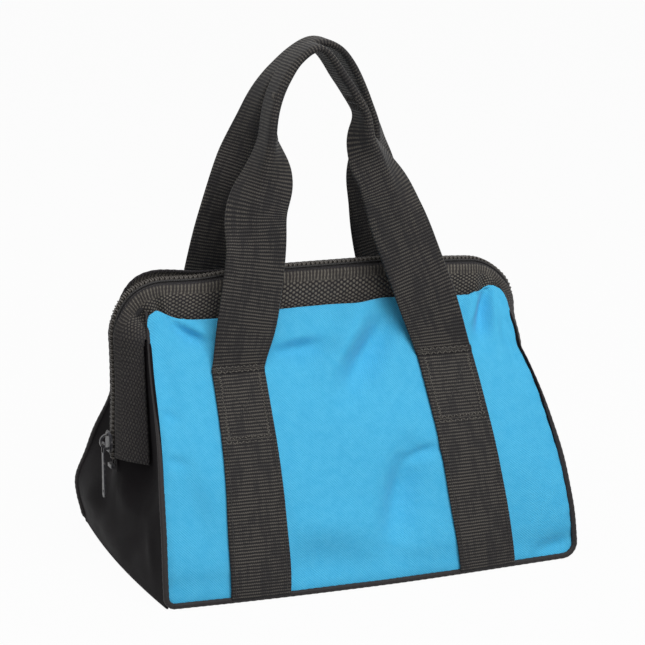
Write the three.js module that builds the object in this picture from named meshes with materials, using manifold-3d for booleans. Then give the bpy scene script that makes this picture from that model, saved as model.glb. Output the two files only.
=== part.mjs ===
// Zippered tool bag with two webbing handles, in millimetres.
// X runs along the bag, the front faces -Y and Z is up. The bag stands on z = 0.
import * as THREE from 'three';
import { mergeVertices } from 'three/addons/utils/BufferGeometryUtils.js';
import Module from 'manifold-3d';

const wasm = await Module();
wasm.setup();

// Clearances between neighbouring pieces.
const GAP = 0.3;

// Overall size of the bag body.
const BASE_LENGTH = 343;
const BASE_DEPTH = 230;
const PANEL_HEIGHT = 202;
const PANEL_TAPER = 20;
const PANEL_TOP_LENGTH = BASE_LENGTH - 2 * PANEL_TAPER;
const PANEL_TOP_DEPTH = 38;
const PANEL_BULGE = 5;
const PANEL_CORNER = 10;
const SIDE_CURVE = 1.8;
const FACE_CURVE = 1.6;
const FABRIC = 2;

// Seams.
const PIPING = 4.5;
const BOARD_THICKNESS = 3;
const BOARD_MARGIN = 5;
const PIPING_LIFT = 0.2;

// Mouth: the zip runs up one end, over the top and down the other end.
const END_BULGE = 2.5;
const ZIP_LENGTH = BASE_LENGTH + 2 * END_BULGE;
const BAND_RISE = 24.5;
const ZIP_TOP = PANEL_HEIGHT + BAND_RISE;
const ZIP_END = 84;
const ZIP_CORNER = 42;
const CORNER_Z = ZIP_TOP - ZIP_CORNER;
const BAND_END_WIDTH = 37;
const BAND_TOP_ROOM = 6.5;
const BAND_TOP_HALF_DEPTH = PANEL_TOP_DEPTH / 2 - BAND_TOP_ROOM;
const BAND_END = ZIP_END + 7;
const BAND_THICKNESS = 2;
const BAND_TUCK = 9;
const BAND_CORNER_TUCK = 6;
const VALLEY = 18;
const VALLEY_START = 20;
const TAPE_THICKNESS = 0.8;
const TAPE_OFFSET = GAP;
const BAND_OFFSET = TAPE_OFFSET + TAPE_THICKNESS + GAP;
const BAND_SIDE_ROOM = FABRIC + BAND_OFFSET + BAND_THICKNESS + 3 * GAP;

// Opening in the end walls behind the mouth band, which laps the band's edge.
const SLOT_RISE = 12;
const SLOT_LAP = 9;

// Zip chain.
const TOOTH_PITCH = 5.2;
const TOOTH_REACH = 2.6;
const RAIL_INNER = 3;
const RAIL_OUTER = 5;
const CHAIN_THICKNESS = 3;
const STOP_LENGTH = 3;
const STOP_WALL = 1;

// Slider and its pull tab.
const SLIDER_CENTRE = ZIP_END + 18;
const SLIDER_LENGTH = 17;
const SLIDER_WIDTH = 13;
const SLIDER_WAIST = 10.6;
const SLIDER_PLATE = 1.5;
const SLIDER_LIP = 1;
const CROWN_LENGTH = 13;
const CROWN_WIDTH = 2.5;
const CROWN_BAR = 1.5;
const CROWN_ROOM = 5;
const CROWN_ROOT = 0.5;
const PULL_LENGTH = 45;
const PULL_WIDTH = 6;
const PULL_THICKNESS = 1.5;
const PULL_NECK = 4.2;
const PULL_LOOP = 7;
const PULL_HOLE = 2.2;

// Webbing: sewn legs on the panels and the free handle loops above them.
const WEBBING = 48;
const WEBBING_THICKNESS = 2.2;
const LEG_SPREAD_BASE = 190;
const LEG_SPREAD_TOP = 175;
const LEG_TOP = PANEL_HEIGHT - 39;
const HANDLE_TOP = ZIP_TOP + 183.5;
const LEAN_START = 0.1;
const LEAN_END = 0.8;
const HANDLE_GAP = 4;
const FOLD_START = 0.365;
const FOLD_END = 0.855;
const FOLD_ANGLE = 88;

// Each handle's outline between a leg and the top: share of the leg's distance from the
// middle, then share of the rise. Soft loops fall to one side: lean is how far the top is to
// the left, sway how far the middle of the rise is.
const FRONT_HANDLE = {
  lean: 9,
  sway: 0,
  shape: [
    [0.86, 0.175],
    [0.75, 0.325],
    [0.655, 0.465],
    [0.583, 0.56],
    [0.497, 0.69],
    [0.41, 0.815],
    [0.31, 0.9],
    [0.18, 0.965],
  ],
};
const BACK_HANDLE = {
  lean: 0,
  sway: 5,
  shape: [
    [0.903, 0.165],
    [0.795, 0.34],
    [0.709, 0.508],
    [0.651, 0.63],
    [0.585, 0.742],
    [0.505, 0.835],
    [0.37, 0.92],
    [0.21, 0.975],
  ],
};

// Colours.
const BLUE = 0x4bafe0;
const BLACK = 0x1d1b1e;
const WEB_BLACK = 0x2a2829;
const KNIT_BLACK = 0x262427;
const PIPE_BROWN = 0x2e2726;
const TOOTH_BLACK = 0x141416;
const METAL_BLACK = 0x333438;
const BOARD_GREY = 0x3a3a3c;

const group = new THREE.Group();
group.name = 'zippered_tool_bag';

// Adds one closed piece to the bag.
function addPiece(name, geometry, color, roughness, metalness = 0) {
  const material = new THREE.MeshStandardMaterial({ color, roughness, metalness });
  const mesh = new THREE.Mesh(geometry, material);
  mesh.name = name;
  group.add(mesh);
}

function smooth(from, to, value) {
  const t = Math.min(1, Math.max(0, (value - from) / (to - from)));
  return t * t * (3 - 2 * t);
}

function mix(a, b, t) {
  return a + (b - a) * t;
}

function range(count, from = 0, to = 1) {
  return Array.from({ length: count + 1 }, (_, i) => mix(from, to, i / count));
}

// Turns a quad so that it splits along its shorter diagonal.
function settled(face) {
  if (face.length !== 4) {
    return face;
  }
  const [a, b, c, d] = face;
  return b.distanceTo(d) < a.distanceTo(c) - 1e-6 ? [b, c, d, a] : face;
}

// Closed mesh from a list of flat or nearly flat faces given as points.
function closedMesh(faces) {
  const flat = [];
  for (const face of faces.map(settled)) {
    for (let i = 2; i < face.length; i++) {
      for (const p of [face[0], face[i - 1], face[i]]) {
        flat.push(p.x, p.y, p.z);
      }
    }
  }
  const geometry = new THREE.BufferGeometry();
  geometry.setAttribute('position', new THREE.Float32BufferAttribute(flat, 3));
  const merged = mergeVertices(geometry, 1e-4);
  merged.computeVertexNormals();
  return merged;
}

// Signed volume, used to make every closed mesh face outward.
function signedVolume(faces) {
  let sum = 0;
  const cross = new THREE.Vector3();
  for (const face of faces) {
    for (let i = 2; i < face.length; i++) {
      sum += face[0].dot(cross.crossVectors(face[i - 1], face[i]));
    }
  }
  return sum;
}

function outward(faces) {
  return signedVolume(faces) < 0 ? faces.map((face) => [...face].reverse()) : faces;
}

// Closed slab between two grids of points with the same layout.
function slab(top, bottom) {
  const faces = [];
  const rows = top.length - 1;
  const columns = top[0].length - 1;
  for (let i = 0; i < rows; i++) {
    for (let j = 0; j < columns; j++) {
      faces.push([top[i][j], top[i][j + 1], top[i + 1][j + 1], top[i + 1][j]]);
      faces.push([bottom[i][j], bottom[i + 1][j], bottom[i + 1][j + 1], bottom[i][j + 1]]);
    }
  }
  for (let j = 0; j < columns; j++) {
    faces.push([top[0][j + 1], top[0][j], bottom[0][j], bottom[0][j + 1]]);
    faces.push([top[rows][j], top[rows][j + 1], bottom[rows][j + 1], bottom[rows][j]]);
  }
  for (let i = 0; i < rows; i++) {
    faces.push([top[i][0], top[i + 1][0], bottom[i + 1][0], bottom[i][0]]);
    faces.push([top[i + 1][columns], top[i][columns], bottom[i][columns], bottom[i + 1][columns]]);
  }
  return closedMesh(outward(faces));
}

// Sheet that lies on a surface between two distances from it.
// The surface is a function of two parameters; side turns its normal outward.
function sheet(surface, us, vs, from, to, side) {
  const step = 1e-3;
  const normal = (u, v) => {
    const du = surface(u + step, v).sub(surface(u - step, v));
    const dv = surface(u, v + step).sub(surface(u, v - step));
    return du.cross(dv).normalize().multiplyScalar(side);
  };
  const grid = (offset) =>
    vs.map((v) => us.map((u) => surface(u, v).addScaledVector(normal(u, v), offset)));
  return slab(grid(to), grid(from));
}

// Closed bar through rings of points with flat ends.
function bar(rings) {
  const faces = [];
  const sides = rings[0].length;
  for (let i = 0; i + 1 < rings.length; i++) {
    for (let j = 0; j < sides; j++) {
      const k = (j + 1) % sides;
      faces.push([rings[i][j], rings[i][k], rings[i + 1][k], rings[i + 1][j]]);
    }
  }
  faces.push([...rings[0]].reverse());
  faces.push([...rings[rings.length - 1]]);
  return closedMesh(outward(faces));
}

// Mirror of a piece, front to back or left to right.
function mirrored(geometry, axis) {
  const copy = geometry.clone();
  const scale = new THREE.Vector3(1, 1, 1);
  scale[axis] = -1;
  copy.scale(scale.x, scale.y, scale.z);
  const index = copy.getIndex().array;
  for (let i = 0; i < index.length; i += 3) {
    [index[i], index[i + 1]] = [index[i + 1], index[i]];
  }
  copy.computeVertexNormals();
  return copy;
}

// Exact solids for the small rigid pieces.
function toSolid(geometry) {
  const bare = geometry.clone();
  bare.deleteAttribute('normal');
  bare.deleteAttribute('uv');
  const merged = mergeVertices(bare, 1e-4);
  const vertProperties = new Float32Array(merged.getAttribute('position').array);
  const triVerts = new Uint32Array(merged.getIndex().array);
  return new wasm.Manifold(new wasm.Mesh({ numProp: 3, vertProperties, triVerts }));
}

function fromSolid(solid) {
  const mesh = solid.getMesh();
  const geometry = new THREE.BufferGeometry();
  const position = new THREE.Float32BufferAttribute(new Float32Array(mesh.vertProperties), 3);
  geometry.setAttribute('position', position);
  geometry.setIndex(new THREE.BufferAttribute(new Uint32Array(mesh.triVerts), 1));
  geometry.computeVertexNormals();
  return geometry;
}

function box(x0, x1, y0, y1, z0, z1) {
  const geometry = new THREE.BoxGeometry(x1 - x0, y1 - y0, z1 - z0);
  geometry.translate((x0 + x1) / 2, (y0 + y1) / 2, (z0 + z1) / 2);
  return toSolid(geometry);
}

// Half length of the front and back panels at a height.
function panelHalf(z) {
  const t = Math.max(0, z) / PANEL_HEIGHT;
  return mix(BASE_LENGTH / 2, PANEL_TOP_LENGTH / 2, t ** SIDE_CURVE);
}

// Half depth of the bag at a height: the panels lean in toward the mouth.
function depthHalf(z) {
  const t = Math.max(0, z) / PANEL_HEIGHT;
  return mix(BASE_DEPTH / 2, PANEL_TOP_DEPTH / 2, t ** FACE_CURVE);
}

// Distance of the end wall from the middle on the centre line.
function noseX(z) {
  return mix(BASE_LENGTH / 2, ZIP_LENGTH / 2, smooth(0, 50, z));
}

// The end wall stays full this far from its middle, then curves in to its edges.
const NOSE_HALF = 7;
const PLUMP_CURVE = 3;
const VALLEY_CURVE = 1.2;
const LEG_STEPS = 5;

// Half width of the band on the end walls.
function bandWidth(z) {
  const t = Math.min(1, Math.max(0, (z - BAND_END) / (CORNER_Z - BAND_END)));
  return mix(BAND_END_WIDTH, depthHalf(CORNER_Z) - BAND_SIDE_ROOM, t);
}

// Distance of the end wall at a depth and a height: plump near the base, and higher up
// drawn in to a valley along the band's sewn edges.
function endX(y, z) {
  const depth = Math.abs(y);
  const plump = Math.max(0, (depth - NOSE_HALF) / (depthHalf(z) - NOSE_HALF));
  const base = mix(noseX(z), panelHalf(z), Math.min(1, plump) ** PLUMP_CURVE);
  const valley = ZIP_LENGTH / 2 - VALLEY;
  const side = bandWidth(z);
  const toValley = Math.max(0, (depth - NOSE_HALF) / (side - NOSE_HALF));
  const toEdge = Math.min(1, (depth - side) / (depthHalf(z) - side));
  const toMiddle = mix(noseX(z), valley, toValley ** VALLEY_CURVE);
  const drawn = depth < side ? toMiddle : mix(valley, panelHalf(z), toEdge);
  return mix(base, drawn, smooth(VALLEY_START, BAND_END, z));
}

// Point on the outer face of the front panel.
function frontSkin(x, z) {
  const rise = Math.sin((Math.PI * Math.min(z, LEG_TOP)) / LEG_TOP);
  const belly = PANEL_BULGE * (1 - (x / panelHalf(z)) ** 2) * rise;
  return new THREE.Vector3(x, -depthHalf(z) - belly, z);
}

// Room the piping and the folded seam take at a panel's edge.
const SEAM = Math.max(PIPING / 2, FABRIC + GAP) + GAP;

// Half length of the cut panel with its rounded corners.
function panelEdge(z) {
  const low = Math.max(0, PANEL_CORNER - (z - PIPING_LIFT - PIPING - GAP));
  const high = Math.max(0, PANEL_CORNER - (PANEL_HEIGHT - z));
  const cut = Math.max(low, high);
  return panelHalf(z) - SEAM - (PANEL_CORNER - Math.sqrt(PANEL_CORNER ** 2 - cut ** 2));
}

function frontPanel() {
  const bottom = PIPING_LIFT + PIPING + GAP;
  const corner = range(3, 0, PANEL_CORNER);
  const middle = range(7, bottom + PANEL_CORNER, PANEL_HEIGHT - PANEL_CORNER).slice(1, -1);
  const rows = [
    ...corner.map((h) => bottom + h),
    ...middle,
    ...corner.map((h) => PANEL_HEIGHT - h).reverse(),
  ];
  const surface = (u, z) => frontSkin(u * panelEdge(z), z);
  const grid = (offset) =>
    rows.map((z) =>
      range(8, -1, 1).map((u) => {
        const a = frontSkin(u * panelEdge(z), z - 0.5);
        const b = frontSkin(u * panelEdge(z), z + 0.5);
        const lean = new THREE.Vector3(0, b.z - a.z, a.y - b.y).normalize();
        return surface(u, z).addScaledVector(lean, offset);
      }),
    );
  return slab(grid(0), grid(FABRIC));
}

function basePanel() {
  const x = BASE_LENGTH / 2;
  const y = BASE_DEPTH / 2 - SEAM;
  return fromSolid(box(-x, x, -y, y, 0, FABRIC));
}

function baseBoard() {
  const x = BASE_LENGTH / 2 - BOARD_MARGIN;
  const y = BASE_DEPTH / 2 - BOARD_MARGIN;
  const z = FABRIC + GAP;
  return fromSolid(box(-x, x, -y, y, z, z + BOARD_THICKNESS));
}

// End wall: full below the zip, two narrow wings beside the band above it.
function leftGusset() {
  const bottom = FABRIC + GAP;
  const top = CORNER_Z;
  const rows = [...range(5, bottom, BAND_END).slice(0, -1), ...range(LEG_STEPS, BAND_END, top)];
  const edge = (z) => depthHalf(z) - SEAM - 2 * GAP;
  const surface = (u, z) => {
    const a = Math.abs(u);
    const width = bandWidth(z);
    const y = Math.sign(u) * (a < 0.5 ? 2 * a * width : mix(width, edge(z), 2 * a - 1));
    return new THREE.Vector3(-endX(y, z), y, z);
  };
  const half = [0.08, 0.25, 0.37, 0.5, 0.72, 0.9, 1];
  const us = [...half.map((u) => -u).reverse(), ...half];
  const wall = toSolid(sheet(surface, us, rows, -FABRIC, 0, -1));
  const slotFoot = BAND_END + SLOT_RISE;
  const slotHalf = (z) => bandWidth(z) - SLOT_LAP;
  const slot = new THREE.Shape([
    new THREE.Vector2(-slotHalf(slotFoot), slotFoot),
    new THREE.Vector2(slotHalf(slotFoot), slotFoot),
    new THREE.Vector2(slotHalf(top), top + 1),
    new THREE.Vector2(-slotHalf(top), top + 1),
  ]);
  const cutter = new THREE.ExtrudeGeometry(slot, { depth: BASE_LENGTH, bevelEnabled: false });
  cutter.applyMatrix4(
    new THREE.Matrix4().makeBasis(
      new THREE.Vector3(0, 1, 0),
      new THREE.Vector3(0, 0, 1),
      new THREE.Vector3(1, 0, 0),
    ),
  );
  cutter.translate(-BASE_LENGTH, 0, 0);
  return fromSolid(wall.subtract(toSolid(cutter)));
}

const LEG_RUN = CORNER_Z - ZIP_END;
const CORNER_RUN = (Math.PI / 2) * ZIP_CORNER;
const TOP_RUN = ZIP_LENGTH - 2 * ZIP_CORNER;
const ZIP_RUN = 2 * (LEG_RUN + CORNER_RUN) + TOP_RUN;

// Point of the zip line, its outward direction and how far round the corner it is.
function zipLine(s) {
  const back = s > ZIP_RUN / 2;
  const t = back ? ZIP_RUN - s : s;
  const side = back ? 1 : -1;
  const centreX = ZIP_LENGTH / 2 - ZIP_CORNER;
  const centreZ = CORNER_Z;
  if (t <= LEG_RUN) {
    return { x: (side * ZIP_LENGTH) / 2, z: ZIP_END + t, nx: side, nz: 0, turn: 0 };
  }
  if (t <= LEG_RUN + CORNER_RUN) {
    const angle = (t - LEG_RUN) / ZIP_CORNER;
    const nx = side * Math.cos(angle);
    const nz = Math.sin(angle);
    return {
      x: side * centreX + ZIP_CORNER * nx,
      z: centreZ + ZIP_CORNER * nz,
      nx,
      nz,
      turn: angle / (Math.PI / 2),
    };
  }
  const along = t - LEG_RUN - CORNER_RUN;
  return { x: side * (centreX - along), z: ZIP_TOP, nx: 0, nz: 1, turn: 1 };
}

// Point at a depth y in front of the zip line and a height n off it.
function offZip(s, y, n) {
  const at = zipLine(s);
  return new THREE.Vector3(at.x + at.nx * n, y, at.z + at.nz * n);
}

// The tapes' inner edges, and how the band falls from the zip to its sewn edge.
const TAPE_EDGE = RAIL_INNER + GAP;
const BAND_ROUND = 2.5;
const BAND_FALL = 1.3;

// Front half of the mouth surface: u runs from the zip to the sewn edge.
function mouthSkin(u, s) {
  const at = zipLine(s);
  const width = bandWidth(at.z);
  const endY = mix(TAPE_EDGE, width, u);
  const endN = endX(endY, Math.min(at.z, CORNER_Z)) - ZIP_LENGTH / 2;
  const drop = ZIP_TOP - PANEL_HEIGHT + BAND_TUCK;
  const corner = Math.min(drop + BAND_CORNER_TUCK, ZIP_CORNER - BAND_CORNER_TUCK);
  const cornerDrop = mix(corner, Math.min(drop, corner), smooth(0.5, 1, at.turn));
  const topY = mix(TAPE_EDGE, BAND_TOP_HALF_DEPTH, 1 - Math.max(0, 1 - u) ** BAND_ROUND);
  const topN = -cornerDrop * u ** BAND_FALL;
  const t = smooth(0, 0.5, at.turn);
  return offZip(s, -mix(endY, topY, t), mix(endN, topN, t));
}

// Stations along the zip: few on the straight runs, more round the corners.
function zipStations(starts) {
  const corner = range(7, LEG_RUN, LEG_RUN + CORNER_RUN);
  const half = [
    ...starts,
    ...range(LEG_STEPS, BAND_END - ZIP_END, LEG_RUN).slice(0, -1),
    ...corner,
    ...range(3, LEG_RUN + CORNER_RUN, ZIP_RUN / 2).slice(1),
  ];
  return [...half, ...half.slice(0, -1).map((s) => ZIP_RUN - s).reverse()];
}

function frontBand() {
  const us = [0.1, 0.16, 0.26, 0.45, 0.7, 1];
  return sheet(mouthSkin, us, zipStations([]), BAND_OFFSET, BAND_OFFSET + BAND_THICKNESS, 1);
}

function frontTape() {
  const us = [0.01, 0.1, 0.16, 0.26, 0.45];
  const stations = zipStations([-2 * STOP_LENGTH]);
  return sheet(mouthSkin, us, stations, TAPE_OFFSET, TAPE_OFFSET + TAPE_THICKNESS, 1);
}

// One half of the closed zip chain: a rail with teeth that reach between the teeth
// of the other half. Each tooth fills half a pitch less the clearance.
function frontTeeth(phase) {
  const count = Math.floor((ZIP_RUN - 2 * STOP_LENGTH) / TOOTH_PITCH);
  const start = (ZIP_RUN - count * TOOTH_PITCH) / 2;
  const tooth = TOOTH_PITCH / 2 - GAP;
  const low = BAND_OFFSET;
  const high = BAND_OFFSET + CHAIN_THICKNESS;
  const stations = [start];
  for (let i = 0; i < count; i++) {
    const from = start + (i + phase) * TOOTH_PITCH + GAP / 2;
    stations.push(from, from + tooth);
  }
  stations.push(start + count * TOOTH_PITCH);
  const at = (s, y, n) => offZip(s, y, n);
  const faces = [];
  for (let i = 0; i + 1 < stations.length; i++) {
    const [a, b] = [stations[i], stations[i + 1]];
    const isTooth = i % 2 === 1;
    const strip = (y0, n0, y1, n1) =>
      faces.push([at(a, y0, n0), at(b, y0, n0), at(b, y1, n1), at(a, y1, n1)]);
    strip(-RAIL_OUTER, high, -RAIL_INNER, high);
    strip(-RAIL_INNER, low, -RAIL_OUTER, low);
    strip(-RAIL_OUTER, low, -RAIL_OUTER, high);
    if (!isTooth) {
      strip(-RAIL_INNER, high, -RAIL_INNER, low);
      continue;
    }
    strip(-RAIL_INNER, high, TOOTH_REACH, high);
    strip(TOOTH_REACH, high, TOOTH_REACH, low);
    strip(TOOTH_REACH, low, -RAIL_INNER, low);
    const flank = (s) => [
      at(s, -RAIL_INNER, low),
      at(s, -RAIL_INNER, high),
      at(s, TOOTH_REACH, high),
      at(s, TOOTH_REACH, low),
    ];
    faces.push(flank(a), flank(b).reverse());
  }
  const cap = (s) => [
    at(s, -RAIL_OUTER, low),
    at(s, -RAIL_OUTER, high),
    at(s, -RAIL_INNER, high),
    at(s, -RAIL_INNER, low),
  ];
  faces.push(cap(stations[0]), cap(stations[stations.length - 1]).reverse());
  return closedMesh(outward(faces));
}

// Metal clip that closes the end of the chain.
function zipStop() {
  const face = ZIP_LENGTH / 2;
  const half = RAIL_OUTER;
  const top = ZIP_END - GAP;
  const inner = BAND_OFFSET;
  const outer = BAND_OFFSET + CHAIN_THICKNESS + STOP_WALL / 2;
  return box(-face - outer, -face - inner, -half, half, top - STOP_LENGTH, top);
}

const CHAIN_FACE = ZIP_LENGTH / 2 + BAND_OFFSET + CHAIN_THICKNESS;
const PLATE_FACE = CHAIN_FACE + GAP + SLIDER_PLATE;
const PULL_AXIS_X = PLATE_FACE + CROWN_ROOM - PULL_THICKNESS;
const PULL_AXIS_Z = SLIDER_CENTRE - 1;

// Solid with an outline in the plane of the end wall, between two distances along -X.
function endPlate(outline, near, far) {
  const shape = new THREE.Shape(outline.map(([y, z]) => new THREE.Vector2(y, z)));
  const geometry = new THREE.ExtrudeGeometry(shape, { depth: far - near, bevelEnabled: false });
  geometry.applyMatrix4(
    new THREE.Matrix4().makeBasis(
      new THREE.Vector3(0, 1, 0),
      new THREE.Vector3(0, 0, 1),
      new THREE.Vector3(1, 0, 0),
    ),
  );
  geometry.translate(-far, 0, 0);
  return toSolid(geometry);
}

function sliderOutline(inset) {
  const wide = SLIDER_WIDTH / 2 - inset;
  const waist = SLIDER_WAIST / 2 - inset;
  const low = SLIDER_CENTRE - SLIDER_LENGTH / 2 + inset;
  const high = SLIDER_CENTRE + SLIDER_LENGTH / 2 - inset;
  const shoulder = SLIDER_CENTRE - 1;
  const half = [
    [wide - 2, low],
    [wide, low + 2],
    [wide, shoulder],
    [waist, high - 2],
    [waist - 2, high],
  ];
  return [...half, ...half.map(([y, z]) => [-y, z]).reverse()];
}

// Oval bar across the slider's face, for the crown and the room under it.
function crownRound(width, reach, half) {
  const geometry = new THREE.CylinderGeometry(1, 1, width, 24);
  geometry.scale(reach, 1, half);
  geometry.translate(-PLATE_FACE, 0, SLIDER_CENTRE);
  return toSolid(geometry);
}

function slider() {
  const plate = endPlate(sliderOutline(0.4), CHAIN_FACE + GAP, PLATE_FACE);
  const rimFar = PLATE_FACE - 0.4;
  const rim = endPlate(sliderOutline(0), CHAIN_FACE + GAP - SLIDER_LIP, rimFar);
  const low = SLIDER_CENTRE - SLIDER_LENGTH / 2;
  const high = SLIDER_CENTRE + SLIDER_LENGTH / 2;
  const lane = RAIL_OUTER + GAP;
  const channel = box(-CHAIN_FACE - GAP, -CHAIN_FACE + 2, -lane, lane, low - 1, high + 1);
  const crownFar = PLATE_FACE + CROWN_ROOM + CROWN_BAR;
  const room = crownRound(CROWN_WIDTH + 2, CROWN_ROOM, CROWN_LENGTH / 2 - CROWN_BAR);
  const outside = box(
    -crownFar,
    -PLATE_FACE + CROWN_ROOT,
    -CROWN_WIDTH,
    CROWN_WIDTH,
    SLIDER_CENTRE - CROWN_LENGTH,
    SLIDER_CENTRE + CROWN_LENGTH,
  );
  const hoop = crownRound(CROWN_WIDTH, CROWN_ROOM + CROWN_BAR, CROWN_LENGTH / 2);
  const arch = hoop.intersect(outside).subtract(room);
  return fromSolid(plate.add(rim.subtract(channel)).add(arch));
}

function pull() {
  const half = PULL_WIDTH / 2;
  const neck = PULL_NECK;
  const top = PULL_AXIS_Z + PULL_THICKNESS / 2;
  const foot = top - PULL_LENGTH;
  const loopFoot = top - PULL_LOOP - 3;
  const outline = [
    [-half + 1.5, foot],
    [half - 1.5, foot],
    [half, foot + 1.5],
    [half - 0.6, loopFoot - 6],
    [half - 0.6, loopFoot],
    [half, loopFoot + 2],
    [half, top - 1],
    [half - 1, top],
    [-half + 1, top],
    [-half, top - 1],
    [-half, loopFoot + 2],
    [-half + 0.6, loopFoot],
    [-half + 0.6, loopFoot - 6],
    [-half, foot + 1.5],
  ];
  const near = PULL_AXIS_X - PULL_THICKNESS / 2;
  const far = PULL_AXIS_X + PULL_THICKNESS / 2;
  const body = endPlate(outline, near, far);
  const eyeTop = top - PULL_THICKNESS;
  const eye = box(-far - 1, -near + 1, -neck / 2, neck / 2, eyeTop - PULL_LOOP, eyeTop);
  const hole = new THREE.CylinderGeometry(PULL_HOLE / 2, PULL_HOLE / 2, 6, 16);
  hole.rotateZ(Math.PI / 2);
  hole.translate(-PULL_AXIS_X, 0, foot + 5);
  return fromSolid(body.subtract(eye).subtract(toSolid(hole)));
}

// Cord sewn round the front panel: down one side, along the base and up the other side.
function frontPiping() {
  const radius = PIPING / 2;
  const turn = PANEL_CORNER;
  const topEnd = Math.min(PANEL_HEIGHT - PANEL_CORNER, CORNER_Z + PIPING);
  const turnZ = PIPING_LIFT + radius + turn;
  const side = range(10, topEnd, turnZ).map((z) => [-panelHalf(z), z]);
  const centreX = -panelHalf(turnZ) + turn;
  const corner = range(4, 0, Math.PI / 2)
    .slice(1)
    .map((a) => [centreX - turn * Math.cos(a), turnZ - turn * Math.sin(a)]);
  const half = [...side, ...corner];
  const path = [...half, ...half.map(([x, z]) => [-x, z]).reverse()];
  const points = path.map(([x, z]) => new THREE.Vector3(x, -depthHalf(z), z));
  const rings = points.map((p, i) => {
    const before = points[Math.max(0, i - 1)];
    const after = points[Math.min(points.length - 1, i + 1)];
    const along = after.clone().sub(before).normalize();
    const across = new THREE.Vector3(0, -1, 0);
    across.addScaledVector(along, -across.dot(along)).normalize();
    const third = new THREE.Vector3().crossVectors(along, across);
    return range(8, 0, 2 * Math.PI)
      .slice(0, -1)
      .map((a) =>
        p
          .clone()
          .addScaledVector(across, radius * Math.cos(a))
          .addScaledVector(third, radius * Math.sin(a)),
      );
  });
  return bar(rings);
}

// Middle of a leg at a height.
function legX(z) {
  return mix(LEG_SPREAD_BASE, LEG_SPREAD_TOP, z / LEG_TOP) / 2;
}

function frontLeftLeg() {
  const half = WEBBING / 2;
  const surface = (u, z) => frontSkin(-legX(z) + u * half, z);
  const rows = range(10, PIPING_LIFT + PIPING + GAP, LEG_TOP);
  return sheet(surface, range(4, -1, 1), rows, GAP, GAP + WEBBING_THICKNESS, 1);
}

// Where the free loop leaves the sewn leg: the outer edge of the leg.
function stitchLine() {
  const below = frontSkin(-legX(LEG_TOP), LEG_TOP - 0.5);
  const above = frontSkin(-legX(LEG_TOP), LEG_TOP + 0.5);
  const lean = new THREE.Vector3(0, below.z - above.z, above.y - below.y).normalize();
  return frontSkin(0, LEG_TOP).addScaledVector(lean, GAP + WEBBING_THICKNESS);
}

// Centre line of a handle on the front side: a pointed arch from leg to leg that leans in.
function handlePath(handle) {
  const foot = stitchLine();
  const top = HANDLE_TOP - WEBBING_THICKNESS;
  const spread = legX(LEG_TOP);
  const half = [
    [spread, foot.z + GAP],
    ...handle.shape.map(([x, z]) => [x * spread, mix(foot.z, top, z)]),
  ];
  const outline = [
    ...half.map(([x, z]) => [-x, z]),
    [0, top],
    ...[...half].reverse(),
  ];
  const lean = (z) => {
    const share = (z - foot.z) / (top - foot.z);
    const sway = handle.sway * Math.sin(Math.PI * share);
    return handle.lean * smooth(LEAN_START, LEAN_END, share) + sway;
  };
  const topY = -WEBBING / 4 - HANDLE_GAP / 2;
  const footY = foot.y + WEBBING_THICKNESS / 2;
  return new THREE.CatmullRomCurve3(
    outline.map(([x, z]) => {
      const t = (z - foot.z) / (top - foot.z);
      return new THREE.Vector3(x - lean(z), mix(footY, topY, t), z);
    }),
    false,
    'centripetal',
  );
}

// Cross-section of the webbing folded along its middle by an angle:
// the outer and the inner face as pairs [across, toward the bag's middle].
function foldedSection(angle) {
  const crease = WEBBING_THICKNESS / 2 + GAP / 2;
  const wing = WEBBING / 2 - crease;
  const spans = [crease + wing, crease + wing / 2, crease];
  const shift = (wing / 2) * Math.sin(angle);
  const face = (offset) => {
    const bend = Math.tan(angle / 2) * offset;
    const right = spans.map((r) => {
      const along = r - crease;
      if (along === 0) {
        return [crease + bend, -offset - shift];
      }
      const a = crease + along * Math.cos(angle) + offset * Math.sin(angle);
      const b = along * Math.sin(angle) - offset * Math.cos(angle);
      return [a, b - shift];
    });
    return [...right.map(([a, b]) => [-a, b]), ...[...right].reverse()];
  };
  return [face(WEBBING_THICKNESS / 2), face(-WEBBING_THICKNESS / 2)];
}

function loop(handle) {
  const path = handlePath(handle);
  const stations = 42;
  const depth = new THREE.Vector3(0, 1, 0);
  const foot = path.getPointAt(0).z;
  const rise = path.getPointAt(0.5).z - foot;
  const grids = [[], []];
  for (const t of range(stations)) {
    const centre = path.getPointAt(t);
    const along = path.getTangentAt(t);
    if (t === 0 || t === 1) {
      along.set(0, 0, t === 0 ? 1 : -1);
    }
    const across = new THREE.Vector3().crossVectors(along, depth).normalize();
    const folded = smooth(FOLD_START, FOLD_END, (centre.z - foot) / rise);
    const angle = THREE.MathUtils.degToRad(FOLD_ANGLE) * folded;
    const faces = foldedSection(angle);
    faces.forEach((face, i) => {
      grids[i].push(
        face.map(([a, b]) => centre.clone().addScaledVector(across, a).addScaledVector(depth, b)),
      );
    });
  }
  return slab(grids[0], grids[1]);
}

function frontAndBack(name, geometry, ...material) {
  addPiece('front_' + name, geometry, ...material);
  addPiece('back_' + name, mirrored(geometry, 'y'), ...material);
}

frontAndBack('panel', frontPanel(), BLUE, 0.85);
frontAndBack('piping', frontPiping(), PIPE_BROWN, 0.7);
frontAndBack('band', frontBand(), KNIT_BLACK, 0.9);
frontAndBack('zip_tape', frontTape(), BLACK, 0.9);
addPiece('front_handle', loop(FRONT_HANDLE), WEB_BLACK, 0.85);
addPiece('back_handle', mirrored(loop(BACK_HANDLE), 'y'), WEB_BLACK, 0.85);

const leg = frontLeftLeg();
frontAndBack('strap_left', leg, WEB_BLACK, 0.85);
frontAndBack('strap_right', mirrored(leg, 'x'), WEB_BLACK, 0.85);

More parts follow.
